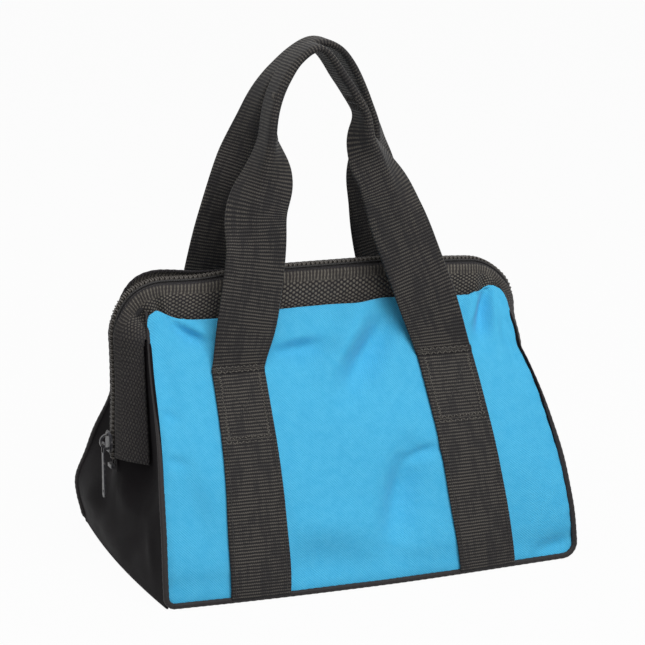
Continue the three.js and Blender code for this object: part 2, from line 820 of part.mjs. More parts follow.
addPiece('front_zip_teeth', frontTeeth(0), TOOTH_BLACK, 0.45);
addPiece('back_zip_teeth', mirrored(frontTeeth(0.5), 'y'), TOOTH_BLACK, 0.45);

addPiece('base_panel', basePanel(), BLACK, 0.8);
addPiece('base_board', baseBoard(), BOARD_GREY, 0.6);

const gusset = leftGusset();
addPiece('left_gusset', gusset, BLACK, 0.75);
addPiece('right_gusset', mirrored(gusset, 'x'), BLACK, 0.75);

const stop = fromSolid(zipStop());
addPiece('left_zip_stop', stop, METAL_BLACK, 0.4, 0.8);
addPiece('right_zip_stop', mirrored(stop, 'x'), METAL_BLACK, 0.4, 0.8);

addPiece('zip_slider', slider(), METAL_BLACK, 0.35, 0.9);
addPiece('zip_pull', pull(), METAL_BLACK, 0.35, 0.9);

export default group;
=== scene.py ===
"""Looks of the zippered tool bag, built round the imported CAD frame.

Shapes are worked out in millimetres and written to Blender in metres.
X runs along the bag, the front faces -Y and Z is up. Back pieces are drawn
at the front and mirrored, and a side is -1 at the left and 1 at the right.
"""

import math

import bmesh
import bpy
import numpy as np
from mathutils import Matrix, Vector


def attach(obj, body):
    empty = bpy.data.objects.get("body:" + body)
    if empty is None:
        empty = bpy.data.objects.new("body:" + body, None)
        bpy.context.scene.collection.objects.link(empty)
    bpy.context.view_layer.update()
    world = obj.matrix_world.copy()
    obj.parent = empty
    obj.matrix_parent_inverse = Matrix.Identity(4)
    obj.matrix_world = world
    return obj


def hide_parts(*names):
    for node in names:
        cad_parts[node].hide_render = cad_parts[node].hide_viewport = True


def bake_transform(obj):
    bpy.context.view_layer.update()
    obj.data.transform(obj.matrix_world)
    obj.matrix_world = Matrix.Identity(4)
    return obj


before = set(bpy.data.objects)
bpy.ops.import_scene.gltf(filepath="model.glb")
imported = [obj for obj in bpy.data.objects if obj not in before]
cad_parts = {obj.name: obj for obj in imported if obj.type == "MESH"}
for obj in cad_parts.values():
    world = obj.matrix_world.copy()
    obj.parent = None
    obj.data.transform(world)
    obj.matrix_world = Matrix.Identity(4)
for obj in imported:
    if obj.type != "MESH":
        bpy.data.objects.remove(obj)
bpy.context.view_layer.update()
MM = 0.001
PI = math.pi
SIDES = ((-1, "left"), (1, "right"))

# The bag's shape, the same numbers as the CAD part.
BASE_LENGTH = 343.0
BASE_DEPTH = 230.0
PANEL_HEIGHT = 202.0
PANEL_TOP_LENGTH = 303.0
PANEL_TOP_DEPTH = 38.0
PANEL_BULGE = 5.0
SIDE_CURVE = 1.8
FACE_CURVE = 1.6
ZIP_LENGTH = 348.0
ZIP_TOP = 226.5
ZIP_END = 84.0
ZIP_CORNER = 42.0
CORNER_Z = ZIP_TOP - ZIP_CORNER
BAND_END = 91.0
BAND_END_WIDTH = 37.0
VALLEY = 18.0
LEG_RUN = CORNER_Z - ZIP_END
CORNER_RUN = PI / 2 * ZIP_CORNER
TOP_RUN = ZIP_LENGTH - 2 * ZIP_CORNER
ZIP_RUN = 2 * (LEG_RUN + CORNER_RUN) + TOP_RUN
CHAIN_LOW = 1.4
CHAIN_HIGH = 4.4
TOOTH_PITCH = 3.8
TOOTH_COUNT = int((ZIP_RUN - 6) / TOOTH_PITCH)
TEETH_START = (ZIP_RUN - TOOTH_COUNT * TOOTH_PITCH) / 2
WEBBING = 48.0
WEBBING_THICKNESS = 2.2
LEG_TOP = 163.0
LEG_SPREAD_BASE = 190.0
LEG_SPREAD_TOP = 175.0
HINGE_Y = 48.97
HINGE_Z = 164.39
HANDLE_PEAK = 407.8

# Looks only. The turns say how widely the cloth turns under at each end, and
# the top width and swell shape the band over the top.
CLOTH = 2.0
CHAIN_EDGE = 3.3
BAND_TOP_WIDTH = 12.5
BAND_TOP_SWELL = 2.5
PANEL_FOOT = 2.5
PANEL_CORNER = 7.0
STRAP_TOP = LEG_TOP - 0.1
STRAP_THICKNESS = 2.1
STRAP_LIFT = 2.5
STITCH_LIFT = 2.62
STITCH_PITCH = 3.4
STITCH_LENGTH = 2.5
PIPING_RADIUS = 2.25
BASE_TURN = {-1: 5.5, 1: 10.0}
GUSSET_TURN = {-1: 1.2, 1: 7.0}

# Each handle. Outside and inside say between which shares of the height each
# half of the webbing folds over, left and right. A nudge moves the outline near
# x, z within a reach by dx, dz. The shape is half the outline, as shares of the
# legs' spread and of the handle's height.
FRONT_LOOP = {
    "outside": ((0.335, 0.74), (0.335, 0.8)),
    "inside": ((0.55, 0.79), (0.57, 0.8)),
    "lean": 9.0,
    "apart": 0.8,
    "sway": 0.0,
    "nudges": (
        (-58, 300, 40, -1.6, 0), (-38, 365, 34, -2.8, 0), (60, 272, 45, -1.3, 0),
        (27, 385, 25, -5.0, -2.4), (8, 396, 14, -0.8, -3.2), (33, 337, 13, -3.0, 0),
        (44, 296, 17, 2.0, 0), (-61, 284, 20, -2.8, 0),
    ),
    "shape": (
        (0.86, 0.175), (0.75, 0.325), (0.655, 0.465), (0.583, 0.56),
        (0.497, 0.69), (0.41, 0.815), (0.31, 0.9), (0.18, 0.965),
    ),
}
BACK_LOOP = {
    "outside": ((0.42, 0.93), (0.37, 0.85)),
    "inside": ((0.61, 0.875), (0.45, 0.75)),
    "lean": 0.0,
    "apart": 2.0,
    "sway": 5.0,
    "nudges": (
        (-72, 312, 42, 6.2, 0), (-50, 366, 26, 0.6, 0), (-46, 340, 36, 4.4, 0),
        (-20, 392, 24, 2.6, 0), (40, 338, 16, 3.6, 0), (-22, 396, 22, 0.6, -1.6),
        (16, 407, 22, 0, 1.8), (42, 385, 26, -1.2, 0), (60, 310, 50, 2.2, 0),
    ),
    "shape": (
        (0.903, 0.165), (0.795, 0.34), (0.709, 0.508), (0.651, 0.63),
        (0.585, 0.742), (0.505, 0.835), (0.37, 0.92), (0.21, 0.975),
    ),
}

# Soft folds: both ends (x and z, or y and z on the end walls), width and height.
# A negative height is a dip.
FOLD_GAIN = 2.8
FRONT_FOLDS = [
    (-133, 197, -109, 182, 4.8, -2.9), (-122, 201, -103, 191, 5.0, 1.5),
    (-145, 184, -147, 122, 8.0, -0.9), (-156, 137, -144, 134, 3.8, -0.9),
    (-160, 106, -144, 102, 4.4, -0.8), (-62, 169, -10, 173, 7.2, -3.0),
    (-50, 183, 0, 186, 7.0, 1.3), (51, 189, 0, 139, 10.5, -5.0),
    (32, 205, -19, 155, 10.0, 3.7), (60, 182, 30, 146, 8.0, 1.0),
    (142, 198, 122, 168, 7.2, -4.4), (132, 206, 111, 179, 6.0, 2.0),
    (154, 196, 141, 172, 6.0, 1.2), (149, 182, 153, 136, 6.5, -0.9),
    (171, 108, 170, 40, 4.0, 1.0), (136, 8, 166, 13, 6.5, -1.5),
    (65, 96, 40, 89, 4.4, -1.7), (42, 94, 16, 30, 14.0, -5.2),
    (-74, 26, -4, 25, 12.0, -1.3), (-66, 52, -12, 50, 13.0, 1.0),
    (-135, 120, -122, 60, 12.0, 0.7), (-146, 92, -136, 40, 9.0, -0.4),
    (126, 120, 134, 60, 11.0, 0.9),
]
BACK_FOLDS = [
    (138, 202, 108, 182, 5.5, -2.4), (146, 194, 120, 172, 7.0, 1.5),
    (38, 190, 46, 158, 6.5, -2.2), (-134, 200, -122, 184, 5.0, -2.4),
    (-46, 188, -62, 148, 7.0, -1.8), (-20, 182, 24, 176, 8.0, -1.4),
    (-54, 104, -90, 70, 11.0, 1.6), (20, 110, 60, 50, 13.0, -1.3),
    (132, 120, 124, 60, 12.0, 1.3), (-128, 100, -142, 44, 10.0, 1.2),
]
GUSSET_FOLDS = [
    (-20, 9, 57, 42, 8.0, 1.5), (2, 62, 54, 60, 15.0, 1.8),
    (74, 54, 88, 20, 9.0, 1.2), (70, 36, 20, 12, 8.0, -1.3),
    (-84, 26, -34, 54, 10.0, 1.3), (-60, 10, -22, 36, 9.0, -1.1),
    (80, 76, 60, 62, 9.0, -1.0),
]


# Plain sums.


def smooth(a, b, v):
    """0 below a, 1 above b and smooth between."""
    t = np.clip((np.asarray(v, float) - a) / (b - a), 0, 1)
    return t * t * (3 - 2 * t)


def mix(a, b, t):
    return a + (b - a) * t


def bump(v, centre, width):
    """1 at the centre, falling off to 0 over the width."""
    return np.exp(-(((np.asarray(v, float) - centre) / width) ** 2))


def unit(v):
    return v / np.maximum(np.linalg.norm(v, axis=-1, keepdims=True), 1e-9)


def run_length(steps):
    """Length from the start to each point, from the length of each step."""
    return np.concatenate([np.zeros_like(steps[:1]), np.cumsum(steps, 0)])


def path_length(path):
    """Length to each point of a path, or down each column of a grid of points."""
    return run_length(np.linalg.norm(np.diff(path, axis=0), axis=-1))


def spread_grid(rows, cols):
    """Two arrays of one shape: each row's value and each column's."""
    return np.meshgrid(rows, cols, indexing="ij")


# Surfaces of the bag.


def panel_half(z):
    t = np.maximum(0, z) / PANEL_HEIGHT
    return mix(BASE_LENGTH / 2, PANEL_TOP_LENGTH / 2, t**SIDE_CURVE)


def depth_half(z):
    t = np.maximum(0, z) / PANEL_HEIGHT
    return mix(BASE_DEPTH / 2, PANEL_TOP_DEPTH / 2, t**FACE_CURVE)


def nose_x(z):
    return mix(BASE_LENGTH / 2, ZIP_LENGTH / 2, smooth(0, 50, z))


def band_width(z):
    t = np.clip((z - BAND_END) / (CORNER_Z - BAND_END), 0, 1)
    return mix(BAND_END_WIDTH, depth_half(CORNER_Z) - 6.3, t)


def end_x(y, z):
    """How far out the end wall stands."""
    depth = np.abs(y)
    room = depth_half(z)
    plump = np.clip((depth - 7) / (room - 7), 0, 1)
    base = mix(nose_x(z), panel_half(z), plump**3)
    valley = ZIP_LENGTH / 2 - VALLEY
    side = band_width(z)
    to_valley = np.maximum(0, (depth - 7) / (side - 7))
    to_edge = np.clip((depth - side) / np.maximum(room - side, 1), 0, 1)
    to_middle = mix(nose_x(z), valley, to_valley**1.2)
    drawn = np.where(depth < side, to_middle, mix(valley, panel_half(z), to_edge))
    return mix(base, drawn, smooth(54, BAND_END, z))


def leg_x(z):
    return mix(LEG_SPREAD_BASE, LEG_SPREAD_TOP, z / LEG_TOP) / 2


def near_line(x, z, x0, z0, x1, z1, width):
    """1 on the line between two points, falling off to 0 over the width."""
    dx, dz = x1 - x0, z1 - z0
    t = np.clip(((x - x0) * dx + (z - z0) * dz) / (dx**2 + dz**2), 0, 1)
    gap = np.hypot(x - x0 - t * dx, z - z0 - t * dz)
    taper = np.sin(PI * np.clip(0.12 + 0.76 * t, 0, 1))
    return np.exp(-((gap / width) ** 2)) * taper


def folds(x, z, lines):
    """Folds and a slow swell, held flat under the sewn legs and by the edges."""
    total = np.zeros(np.broadcast(x, z).shape)
    for *line, height in lines:
        total = total + FOLD_GAIN * height * near_line(x, z, *line)
    total = total + 1.5 * np.sin(x / 19 + z / 31) * np.sin(z / 23 - x / 57)
    beside = np.abs(np.abs(x) - leg_x(z))
    under = (1 - smooth(21, 29, beside)) * (1 - smooth(160, 172, z))
    held = 0.3 + 0.7 * smooth(1, 9, panel_half(z) - np.abs(x))
    return total * (1 - 0.7 * under) * held


def pulled_in(x, z):
    """The cloth is held down by the seams at its edges and beside the sewn legs."""
    edge = panel_half(z) - np.abs(x)
    seam = -1.2 * np.exp(-((edge / 4.5) ** 2)) * (1 + 0.35 * np.sin(z / 2.3))
    foot = -1.3 * bump(z, 17, 8)
    beside = np.abs(np.abs(x) - leg_x(z))
    legs = -0.5 * bump(beside, 26, 4) * (1 - smooth(158, 172, z))
    return seam + foot + legs


def skin(x, z, back=False, detail=True):
    """Outer face of the front panel (or of the back one, still drawn at the front)."""
    rise = np.sin(PI * np.minimum(z, LEG_TOP) / LEG_TOP)
    belly = PANEL_BULGE * (1 - (x / panel_half(z)) ** 2) * rise
    extra = folds(x, z, BACK_FOLDS if back else FRONT_FOLDS)
    if detail:
        extra = extra + pulled_in(x, z)
    y = -depth_half(z) - belly - extra * 0.9
    return np.stack(np.broadcast_arrays(x, y, z), -1)


def zip_line(s):
    """Zip line: point, outward direction and how far round the corner, for an array."""
    s = np.asarray(s, float)
    right = s > ZIP_RUN / 2
    t = np.where(right, ZIP_RUN - s, s)
    side = np.where(right, 1.0, -1.0)
    angle = np.clip((t - LEG_RUN) / ZIP_CORNER, 0, PI / 2)
    centre_x = ZIP_LENGTH / 2 - ZIP_CORNER
    nx = np.cos(angle)
    nz = np.sin(angle)
    along = np.maximum(0, t - LEG_RUN - CORNER_RUN)
    below = np.maximum(0, LEG_RUN - t)
    x = side * (centre_x + ZIP_CORNER * nx - along)
    z = CORNER_Z + ZIP_CORNER * nz - below
    return x, z, side * nx, nz, angle / (PI / 2)


def off_zip(s, y, n):
    """Points beside the zip line by y and out from it by n."""
    x, z, nx, nz, _ = zip_line(s)
    return np.stack(np.broadcast_arrays(x + nx * n, y, z + nz * n), -1)


def mouth_skin(u, s):
    """Front half of the mouth: u runs from the zip to the sewn edge."""
    _, z, _, _, turn = zip_line(s)
    end_y = mix(CHAIN_EDGE, band_width(z), u)
    end_n = end_x(end_y, np.minimum(z, CORNER_Z)) - ZIP_LENGTH / 2
    drop = ZIP_TOP - PANEL_HEIGHT + 9
    corner = min(drop + 6, ZIP_CORNER - 6)
    corner_drop = mix(corner, min(drop, corner), smooth(0.5, 1, turn))
    top_y = mix(CHAIN_EDGE, BAND_TOP_WIDTH, 1 - np.maximum(0, 1 - u) ** BAND_TOP_SWELL)
    top_n = -corner_drop * np.maximum(0, u) ** 1.3
    t = smooth(0, 0.5, turn)
    return off_zip(s, -mix(end_y, top_y, t), mix(end_n, top_n, t))


def settle(points):
    """How the cloth has settled as it stands: small pushes, the same for every sewn piece."""
    p = np.array(points, float)
    x, y, z = p[..., 0], p[..., 1], p[..., 2]
    low = 1 - smooth(15, 70, z)
    near = smooth(-45, 45, -y)
    front = mix(smooth(18, 60, -y), near, low)
    rear = mix(smooth(18, 60, y), 1 - near, low)

    # The four upright edges sag outward, each by its own amount.
    left_share = 1 - smooth(-150, 150, x)
    front_left = 3.0 * (1 - smooth(95, 170, z))
    front_right = 4.5 * (1 - smooth(72, 145, z)) - 1.5 * smooth(125, 165, z)
    front_right = front_right - 1.1 * (1 - smooth(12, 45, z))
    dx = front * mix(front_right, front_left, left_share) * smooth(118, 150, np.abs(x))
    waist = 6.5 * bump(z, 118, 26) - 6.0 * bump(z, 42, 20) + 3.0 * (1 - smooth(0, 25, z))
    rear_right = 1.5 * (1 - smooth(60, 140, z))
    dx = dx + rear * mix(rear_right, waist, smooth(60, 160, -x))
    dx = dx - 1.8 * front * bump(x, -96, 34) * (1 - smooth(0, 120, z))

    # The base's edges bow: inward along the panels, outward at the left end.
    bow = 2.5 * (1 - smooth(0, 150, x)) + 6.6 * (1 - np.clip(np.abs(x) / 175, 0, 1) ** 2)
    bow = bow * (1 - smooth(0, 70, z))
    end_bow = 5.6 * (1 - np.clip(np.abs(y + 10) / 118, 0, 1) ** 2) * (1 - smooth(8, 60, z))
    dx = dx - end_bow * smooth(100, 168, -x) + 0.5 * end_bow * smooth(100, 168, x)
    dy = -bow * smooth(40, 115, -y) + 0.6 * bow * smooth(40, 115, y)

    # The mouth's corners and ends draw in, and its top rises past the middle.
    right_corner = smooth(96, 168, x) * smooth(176, 226, z)
    left_corner = smooth(96, 168, -x) * smooth(186, 226, z)
    right_end = (3.4 * smooth(145, 190, z) + 4.9 * bump(z, 183, 20)) * smooth(120, 165, x)
    left_end = 1.8 * bump(z, 152, 45) * smooth(150, 168, -x)
    hump = 3.8 * smooth(-112, -55, x) * (1 - smooth(45, 112, x)) * smooth(206, 224, z)
    p[..., 0] = x + dx - 1.8 * right_corner - 1.5 * left_corner - right_end + left_end
    p[..., 1] = y + dy
    p[..., 2] = z - 3.0 * right_corner + 1.5 * left_corner + hump
    return p


def mirror_back(points):
    return points * np.array([1.0, -1.0, 1.0])


def place_side(points, back):
    """Settled points of a front piece, or of a back one drawn at the front."""
    return settle(mirror_back(points)) if back else settle(points)


# Mesh making.


def add_object(name, data):
    obj = bpy.data.objects.new(name, data)
    bpy.context.scene.collection.objects.link(obj)
    return obj


def make_mesh(name, verts, faces, uv, material, body, shade=True):
    mesh = bpy.data.meshes.new(name)
    mesh.from_pydata((np.asarray(verts) * MM).tolist(), [], faces)
    obj = add_object(name, mesh)
    work = bmesh.new()
    work.from_mesh(mesh)
    bmesh.ops.recalc_face_normals(work, faces=work.faces)
    work.to_mesh(mesh)
    work.free()
    layer = mesh.uv_layers.new(name="UVMap")
    index = np.zeros(len(mesh.loops), np.int32)
    mesh.loops.foreach_get("vertex_index", index)
    layer.data.foreach_set("uv", (np.asarray(uv)[index] * MM).astype(np.float32).ravel())
    mesh.polygons.foreach_set("use_smooth", np.full(len(mesh.polygons), shade))
    mesh.materials.append(material)
    mesh.update()
    if body:
        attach(obj, body)
    return obj


def shell_arrays(outer, thick, uv, side=1):
    """Closed sheet under an outer grid of points, with rounded edges."""
    rows, cols = outer.shape[:2]
    normal = np.cross(np.gradient(outer, axis=1), np.gradient(outer, axis=0))
    normal = unit(normal) * side
    inner = outer - normal * thick
    middle = outer - normal * thick / 2
    count = rows * cols
    at = np.arange(count).reshape(rows, cols)
    ring = np.concatenate([at[0], at[1:, -1], at[-1, -2::-1], at[-2:0:-1, 0]])
    bi, bj = np.divmod(ring, cols)
    inward = middle[np.clip(bi, 1, rows - 2), np.clip(bj, 1, cols - 2)]
    edge = middle[bi, bj] + unit(middle[bi, bj] - inward) * thick * 0.45
    verts = np.concatenate([outer.reshape(-1, 3), inner.reshape(-1, 3), edge])
    flat_uv = uv.reshape(-1, 2)
    all_uv = np.concatenate([flat_uv, flat_uv, uv[bi, bj]])
    a, b, c, d = at[:-1, :-1], at[:-1, 1:], at[1:, 1:], at[1:, :-1]
    top = np.stack([a, b, c, d], -1).reshape(-1, 4)
    bottom = np.stack([a, d, c, b], -1).reshape(-1, 4) + count
    nxt = np.roll(ring, -1)
    rims = np.arange(len(ring)) + 2 * count
    rims_next = np.roll(rims, -1)
    side_a = np.stack([ring, rims, rims_next, nxt], -1)
    side_b = np.stack([rims, ring + count, nxt + count, rims_next], -1)
    faces = np.concatenate([top, bottom, side_a, side_b])
    return verts, faces.tolist(), all_uv


def shell(name, outer, thick, uv, material, body="bag", side=1):
    verts, faces, all_uv = shell_arrays(outer, thick, uv, side)
    return make_mesh(name, verts, faces, all_uv, material, body)


def ring_faces(at):
    """Faces between the rows of a grid of vertex numbers whose rows are rings."""
    nxt = np.roll(at, -1, 1)
    return np.stack([at[:-1], nxt[:-1], nxt[1:], at[1:]], -1).reshape(-1, 4)


def ring_points(centre, first, second, angle, width, height):
    """A ring round each centre, from two directions across it."""
    shape = (1,) * (centre.ndim - 1) + (-1, 1)
    return (
        centre[..., None, :]
        + first[..., None, :] * (np.cos(angle).reshape(shape) * width)
        + second[..., None, :] * (np.sin(angle).reshape(shape) * height)
    )


def tube(name, path, radius, material):
    """A closed round cord along a path, with a radius for each point."""
    sides = 14
    along = unit(np.gradient(path, axis=0))
    facing = np.array([0.0, -1.0, 0.0])
    across = unit(facing - along * np.sum(facing * along, 1, keepdims=True))
    angle = np.arange(sides) * 2 * PI / sides
    wide = radius[:, None, None]
    ring = ring_points(path, across, np.cross(along, across), angle, wide, wide)
    uv = np.stack(spread_grid(path_length(path), angle * radius.mean()), -1)
    n = len(path)
    at = np.arange(n * sides).reshape(n, sides)
    faces = ring_faces(at).tolist()
    first = path[:1] - along[:1] * radius[0] * 0.6
    last = path[-1:] + along[-1:] * radius[-1] * 0.6
    verts = np.concatenate([ring.reshape(-1, 3), first, last])
    all_uv = np.concatenate([uv.reshape(-1, 2), uv[0, :1], uv[-1, :1]])
    for j in range(sides):
        k = (j + 1) % sides
        faces.append([n * sides, int(at[0, k]), int(at[0, j])])
        faces.append([n * sides + 1, int(at[-1, j]), int(at[-1, k])])
    return make_mesh(name, verts, faces, all_uv, material, "bag")


def stitches(name, ends, radius, material, body):
    """Short round threads in one mesh, each from its start, end and facing direction."""
    starts, stops, normals = (np.array(part)[:, None] for part in zip(*ends))
    sides = 6
    profile = [(-0.02, 0.25), (0.08, 0.8), (0.5, 1.0), (0.92, 0.8), (1.02, 0.25)]
    t, r = np.array(profile).T[..., None]
    length = np.linalg.norm(stops - starts, axis=-1, keepdims=True)
    along = (stops - starts) / length
    up = unit(normals - along * np.sum(normals * along, -1, keepdims=True))
    centre = starts + along * length * t + up * (2 * t * (1 - t) * radius)
    angle = np.arange(sides) * 2 * PI / sides
    wide = radius * r[..., None]
    verts = ring_points(centre, np.cross(along, up), up, angle, wide, wide * 0.8)
    at = np.arange(verts.size // 3).reshape(verts.shape[:-1])
    faces = np.concatenate([ring_faces(one) for one in at]).tolist()
    for one in at:
        faces += [one[0][::-1].tolist(), one[-1].tolist()]
    uv = np.zeros((*at.shape, 2))
    uv[..., 0] = t * 2.6
    uv[..., 1] = angle * radius
    return make_mesh(name, verts.reshape(-1, 3), faces, uv.reshape(-1, 2), material, body)


# Materials.


class Value:
    """One output of a node, with plain arithmetic."""

    def __init__(self, nodes, socket):
        self.nodes = nodes
        self.socket = socket

    def __add__(self, other):
        return self.nodes.math("ADD", self, other)

    def __sub__(self, other):
        return self.nodes.math("SUBTRACT", self, other)

    def __mul__(self, other):
        return self.nodes.math("MULTIPLY", self, other)


class Nodes:
    """Adds nodes to a tree."""

    def __init__(self, tree):
        self.tree = tree

    def plug(self, socket, value):
        if isinstance(value, Value):
            self.tree.links.new(value.socket, socket)
        else:
            socket.default_value = value

    def node(self, kind, values=(), **settings):
        """A node with its settings and then its inputs, in order or as a table by name."""
        node = self.tree.nodes.new("ShaderNode" + kind)
        for key, value in settings.items():
            setattr(node, key, value)
        pairs = values.items() if isinstance(values, dict) else enumerate(values)
        for key, value in pairs:
            self.plug(node.inputs[key], value)
        return node

    def out(self, node, key=0):
        return Value(self, node.outputs[key])

    def math(self, kind, *values):
        return self.out(self.node("Math", values, operation=kind))

    def join(self, *parts):
        return self.out(self.node("CombineXYZ", parts))

    def noise(self, where, scale, detail=3.0, rough=0.5):
        inputs = {"Vector": where, "Scale": scale, "Detail": detail, "Roughness": rough}
        return self.out(self.node("TexNoise", inputs))

    def wave(self, value, pitch, sharp=None):
        """0 to 1 ridges at a pitch."""
        ridge = self.math("SINE", value * (2 * PI / pitch)) * 0.5 + 0.5
        return self.math("POWER", ridge, sharp) if sharp else ridge

    def step(self, value, low, high):
        """0 at low, 1 at high and smooth between."""
        inputs = {"Value": value, "From Min": low, "From Max": high}
        return self.out(self.node("MapRange", inputs, interpolation_type="SMOOTHSTEP"))

    def mix(self, share, a, b):
        return self.math("MULTIPLY_ADD", share, b - a, a)

    def blend(self, share, a, b):
        """Colour between two colours."""
        return self.out(self.node("Mix", {0: share, 6: a, 7: b}, data_type="RGBA"), 2)

    def shown(self, share, lit, backdrop):
        """The lit shader, but a share of the backdrop for the rays that show it."""
        ray = self.node("LightPath")
        seen = self.out(ray, "Is Camera Ray") + self.out(ray, "Is Glossy Ray")
        seen = self.math("MINIMUM", seen + self.out(ray, "Is Transmission Ray"), 1.0)
        mixed = self.node("MixShader", (seen * share, self.out(lit), self.out(backdrop)))
        return self.out(mixed)


class Mat(Nodes):
    """A material with a Principled shader."""

    def __init__(self, name, **sockets):
        self.data = bpy.data.materials.new(name)
        self.data.use_nodes = True
        super().__init__(self.data.node_tree)
        self.shader = self.tree.nodes["Principled BSDF"]
        for key, value in sockets.items():
            self.shader.inputs[key.replace("_", " ")].default_value = value

    def lengths(self, node, key, count):
        """The first parts of a vector output, in millimetres."""
        split = self.node("SeparateXYZ", [self.out(node, key)])
        return [self.out(split, i) * (1 / MM) for i in range(count)]

    def uv(self):
        """Lengths along and across the cloth, and the two as one vector."""
        u, v = self.lengths(self.node("UVMap", uv_map="UVMap"), 0, 2)
        return u, v, self.join(u, v)

    def place(self):
        return self.join(*self.lengths(self.node("TexCoord"), "Object", 3))

    def finish(self, colour, rough, height, depth, strength):
        """Plugs the pattern in, with a relief that is a depth in millimetres."""
        inputs = {"Strength": strength, "Distance": depth * MM, "Height": height}
        self.plug(self.shader.inputs["Base Color"], colour)
        self.plug(self.shader.inputs["Roughness"], rough)
        self.plug(self.shader.inputs["Normal"], self.out(self.node("Bump", inputs)))
        return self.data


def rgb(*levels):
    """A colour written as it looks on a screen, 0 to 255."""
    parts = [level / 255 for level in levels]
    return (*(c / 12.92 if c <= 0.04045 else ((c + 0.055) / 1.055) ** 2.4 for c in parts), 1.0)


def blue_cloth():
    m = Mat("blue_cloth", Specular_IOR_Level=0.3, Sheen_Weight=0.12, Sheen_Roughness=0.5)
    u, v, where = m.uv()
    drift = m.noise(where, 0.09, 2.0)
    mottle = m.noise(where, 0.17, 2.0, 0.6)
    yarn = m.noise(m.join(u * 0.9, v * 0.9), 1.1, 3.0, 0.65)
    twill = m.wave(u + v * 0.92 + drift * 2.0, 2.0)
    fine = m.wave(u - v * 0.55, 1.15)
    weave = twill * 0.65 + fine * 0.35
    tone = m.step(weave * 0.5 + yarn * 0.5, 0.15, 0.85)
    base = m.blend(tone, rgb(42, 156, 206), rgb(88, 197, 238))
    base = m.blend(m.step(drift, 0.35, 0.7) * 0.35, base, rgb(54, 167, 216))
    base = m.blend(m.step(mottle, 0.35, 0.68) * 0.14, base, rgb(96, 198, 238))
    height = weave * 0.8 + yarn * 0.5 + mottle * 1.2
    return m.finish(base, m.mix(weave, 0.86, 0.72), height, 0.3, 0.6)


def black_cloth():
    m = Mat("black_cloth", Specular_IOR_Level=0.06)
    u, v, where = m.uv()
    cloud = m.noise(where, 0.05, 3.0)
    yarn = m.noise(where, 1.6, 2.0, 0.6)
    weave = m.wave(u, 0.9) * m.wave(v, 0.9)
    tone = m.step(cloud * 0.6 + yarn * 0.4, 0.3, 0.8)
    base = m.blend(tone, rgb(12, 10, 12), rgb(26, 23, 25))
    height = weave * 0.5 + yarn * 0.3 + cloud * 2.0
    return m.finish(base, m.mix(cloud, 0.62, 0.8), height, 0.2, 0.5)


def webbing():
    m = Mat("webbing", Specular_IOR_Level=0.3, Sheen_Weight=0.05, Sheen_Roughness=0.5)
    u, v, where = m.uv()
    pitch = 2.62
    wobble = m.noise(where, 0.12, 2.0)
    run = u + wobble * 0.9
    rib = m.wave(run, pitch)
    beat = m.wave(v + m.wave(run, pitch * 2, 2.0) * 0.8, 1.7)
    dash = m.step(rib * (beat * 0.55 + 0.45), 0.3, 0.72)
    fuzz = m.noise(where, 1.9, 3.0, 0.7)
    patch = m.noise(m.join(u * 0.5, v), 0.07, 3.0, 0.6) * 0.65
    patch = patch + m.noise(m.join(u * 0.08, v), 0.3, 2.0) * 0.35
    broad = m.noise(m.join(u * 0.7, v * 0.4), 0.03, 2.0)
    tone = dash * (fuzz * 0.8 + 0.6)
    tone = tone * (m.step(broad, 0.4, 0.6) * 0.4 + 0.78)
    tone = tone * (m.step(patch, 0.43, 0.57) * 1.1 + 0.38)
    base = m.blend(tone, rgb(20, 18, 20), rgb(74, 70, 64))
    height = rib * 0.8 + beat * 0.25 + fuzz * 0.15
    return m.finish(base, m.mix(rib, 0.85, 0.66), height, 0.5, 0.8)


def knit():
    """Slanting ribs beside the zip, then rows of cells, with a thin darker line at the edge by
    the chain, and painted shade away from the zip and on the band's end legs.
    """
    m = Mat("knit", Specular_IOR_Level=0.25, Sheen_Weight=0.08, Sheen_Roughness=0.6)
    u, v, where = m.uv()
    cell_wide, cell_high = 5.4, 2.9
    wobble = m.noise(where, 0.14, 2.0)
    run = u + wobble * 1.6
    drop = v + wobble * 1.4
    cells = m.step(v + wobble * 3.0, 9.5, 12.5)
    lean = m.wave(run + v * 0.22, 2.85, 1.3)
    slant = run + v * 0.2
    even = m.wave(slant, cell_wide, 2.0) * m.wave(drop, cell_high)
    odd = m.wave(slant + cell_wide / 2, cell_wide, 2.0)
    odd = odd * m.wave(drop + cell_high / 2, cell_high)
    comb = m.step(m.math("MAXIMUM", even, odd), 0.1, 0.8)
    rib = m.step(lean * (m.wave(drop, cell_high) * 0.35 + 0.65), 0.15, 0.85)
    fuzz = m.noise(where, 1.5, 3.0, 0.7)
    patch = m.noise(where, 0.09, 3.0, 0.6)
    edge = m.step(v, 0.3, 1.4)
    # Painted shade: the band darkens away from the zip, where it curves into the valley by the
    # piping.
    valley_shade = m.step(v, 36.0, 20.0) * 0.5 + 0.5
    # Painted shade: the band's legs down the two ends, which face away from the light, are
    # darkened.
    from_middle = m.math("ABSOLUTE", u - ZIP_RUN / 2)
    ends = m.step(from_middle, ZIP_RUN / 2 - 100, ZIP_RUN / 2 - 150) * 0.7 + 0.3
    body = m.mix(cells, rib * 0.75 + 0.1, comb)
    tone = body * (fuzz * 1.1 + 0.45) * (m.step(patch, 0.3, 0.7) * 0.5 + 0.75)
    base = m.blend(tone * edge * (valley_shade * ends), rgb(33, 30, 32), rgb(106, 101, 92))
    return m.finish(base, m.mix(body, 0.9, 0.75), body + fuzz * 0.3, 0.7, 0.9)


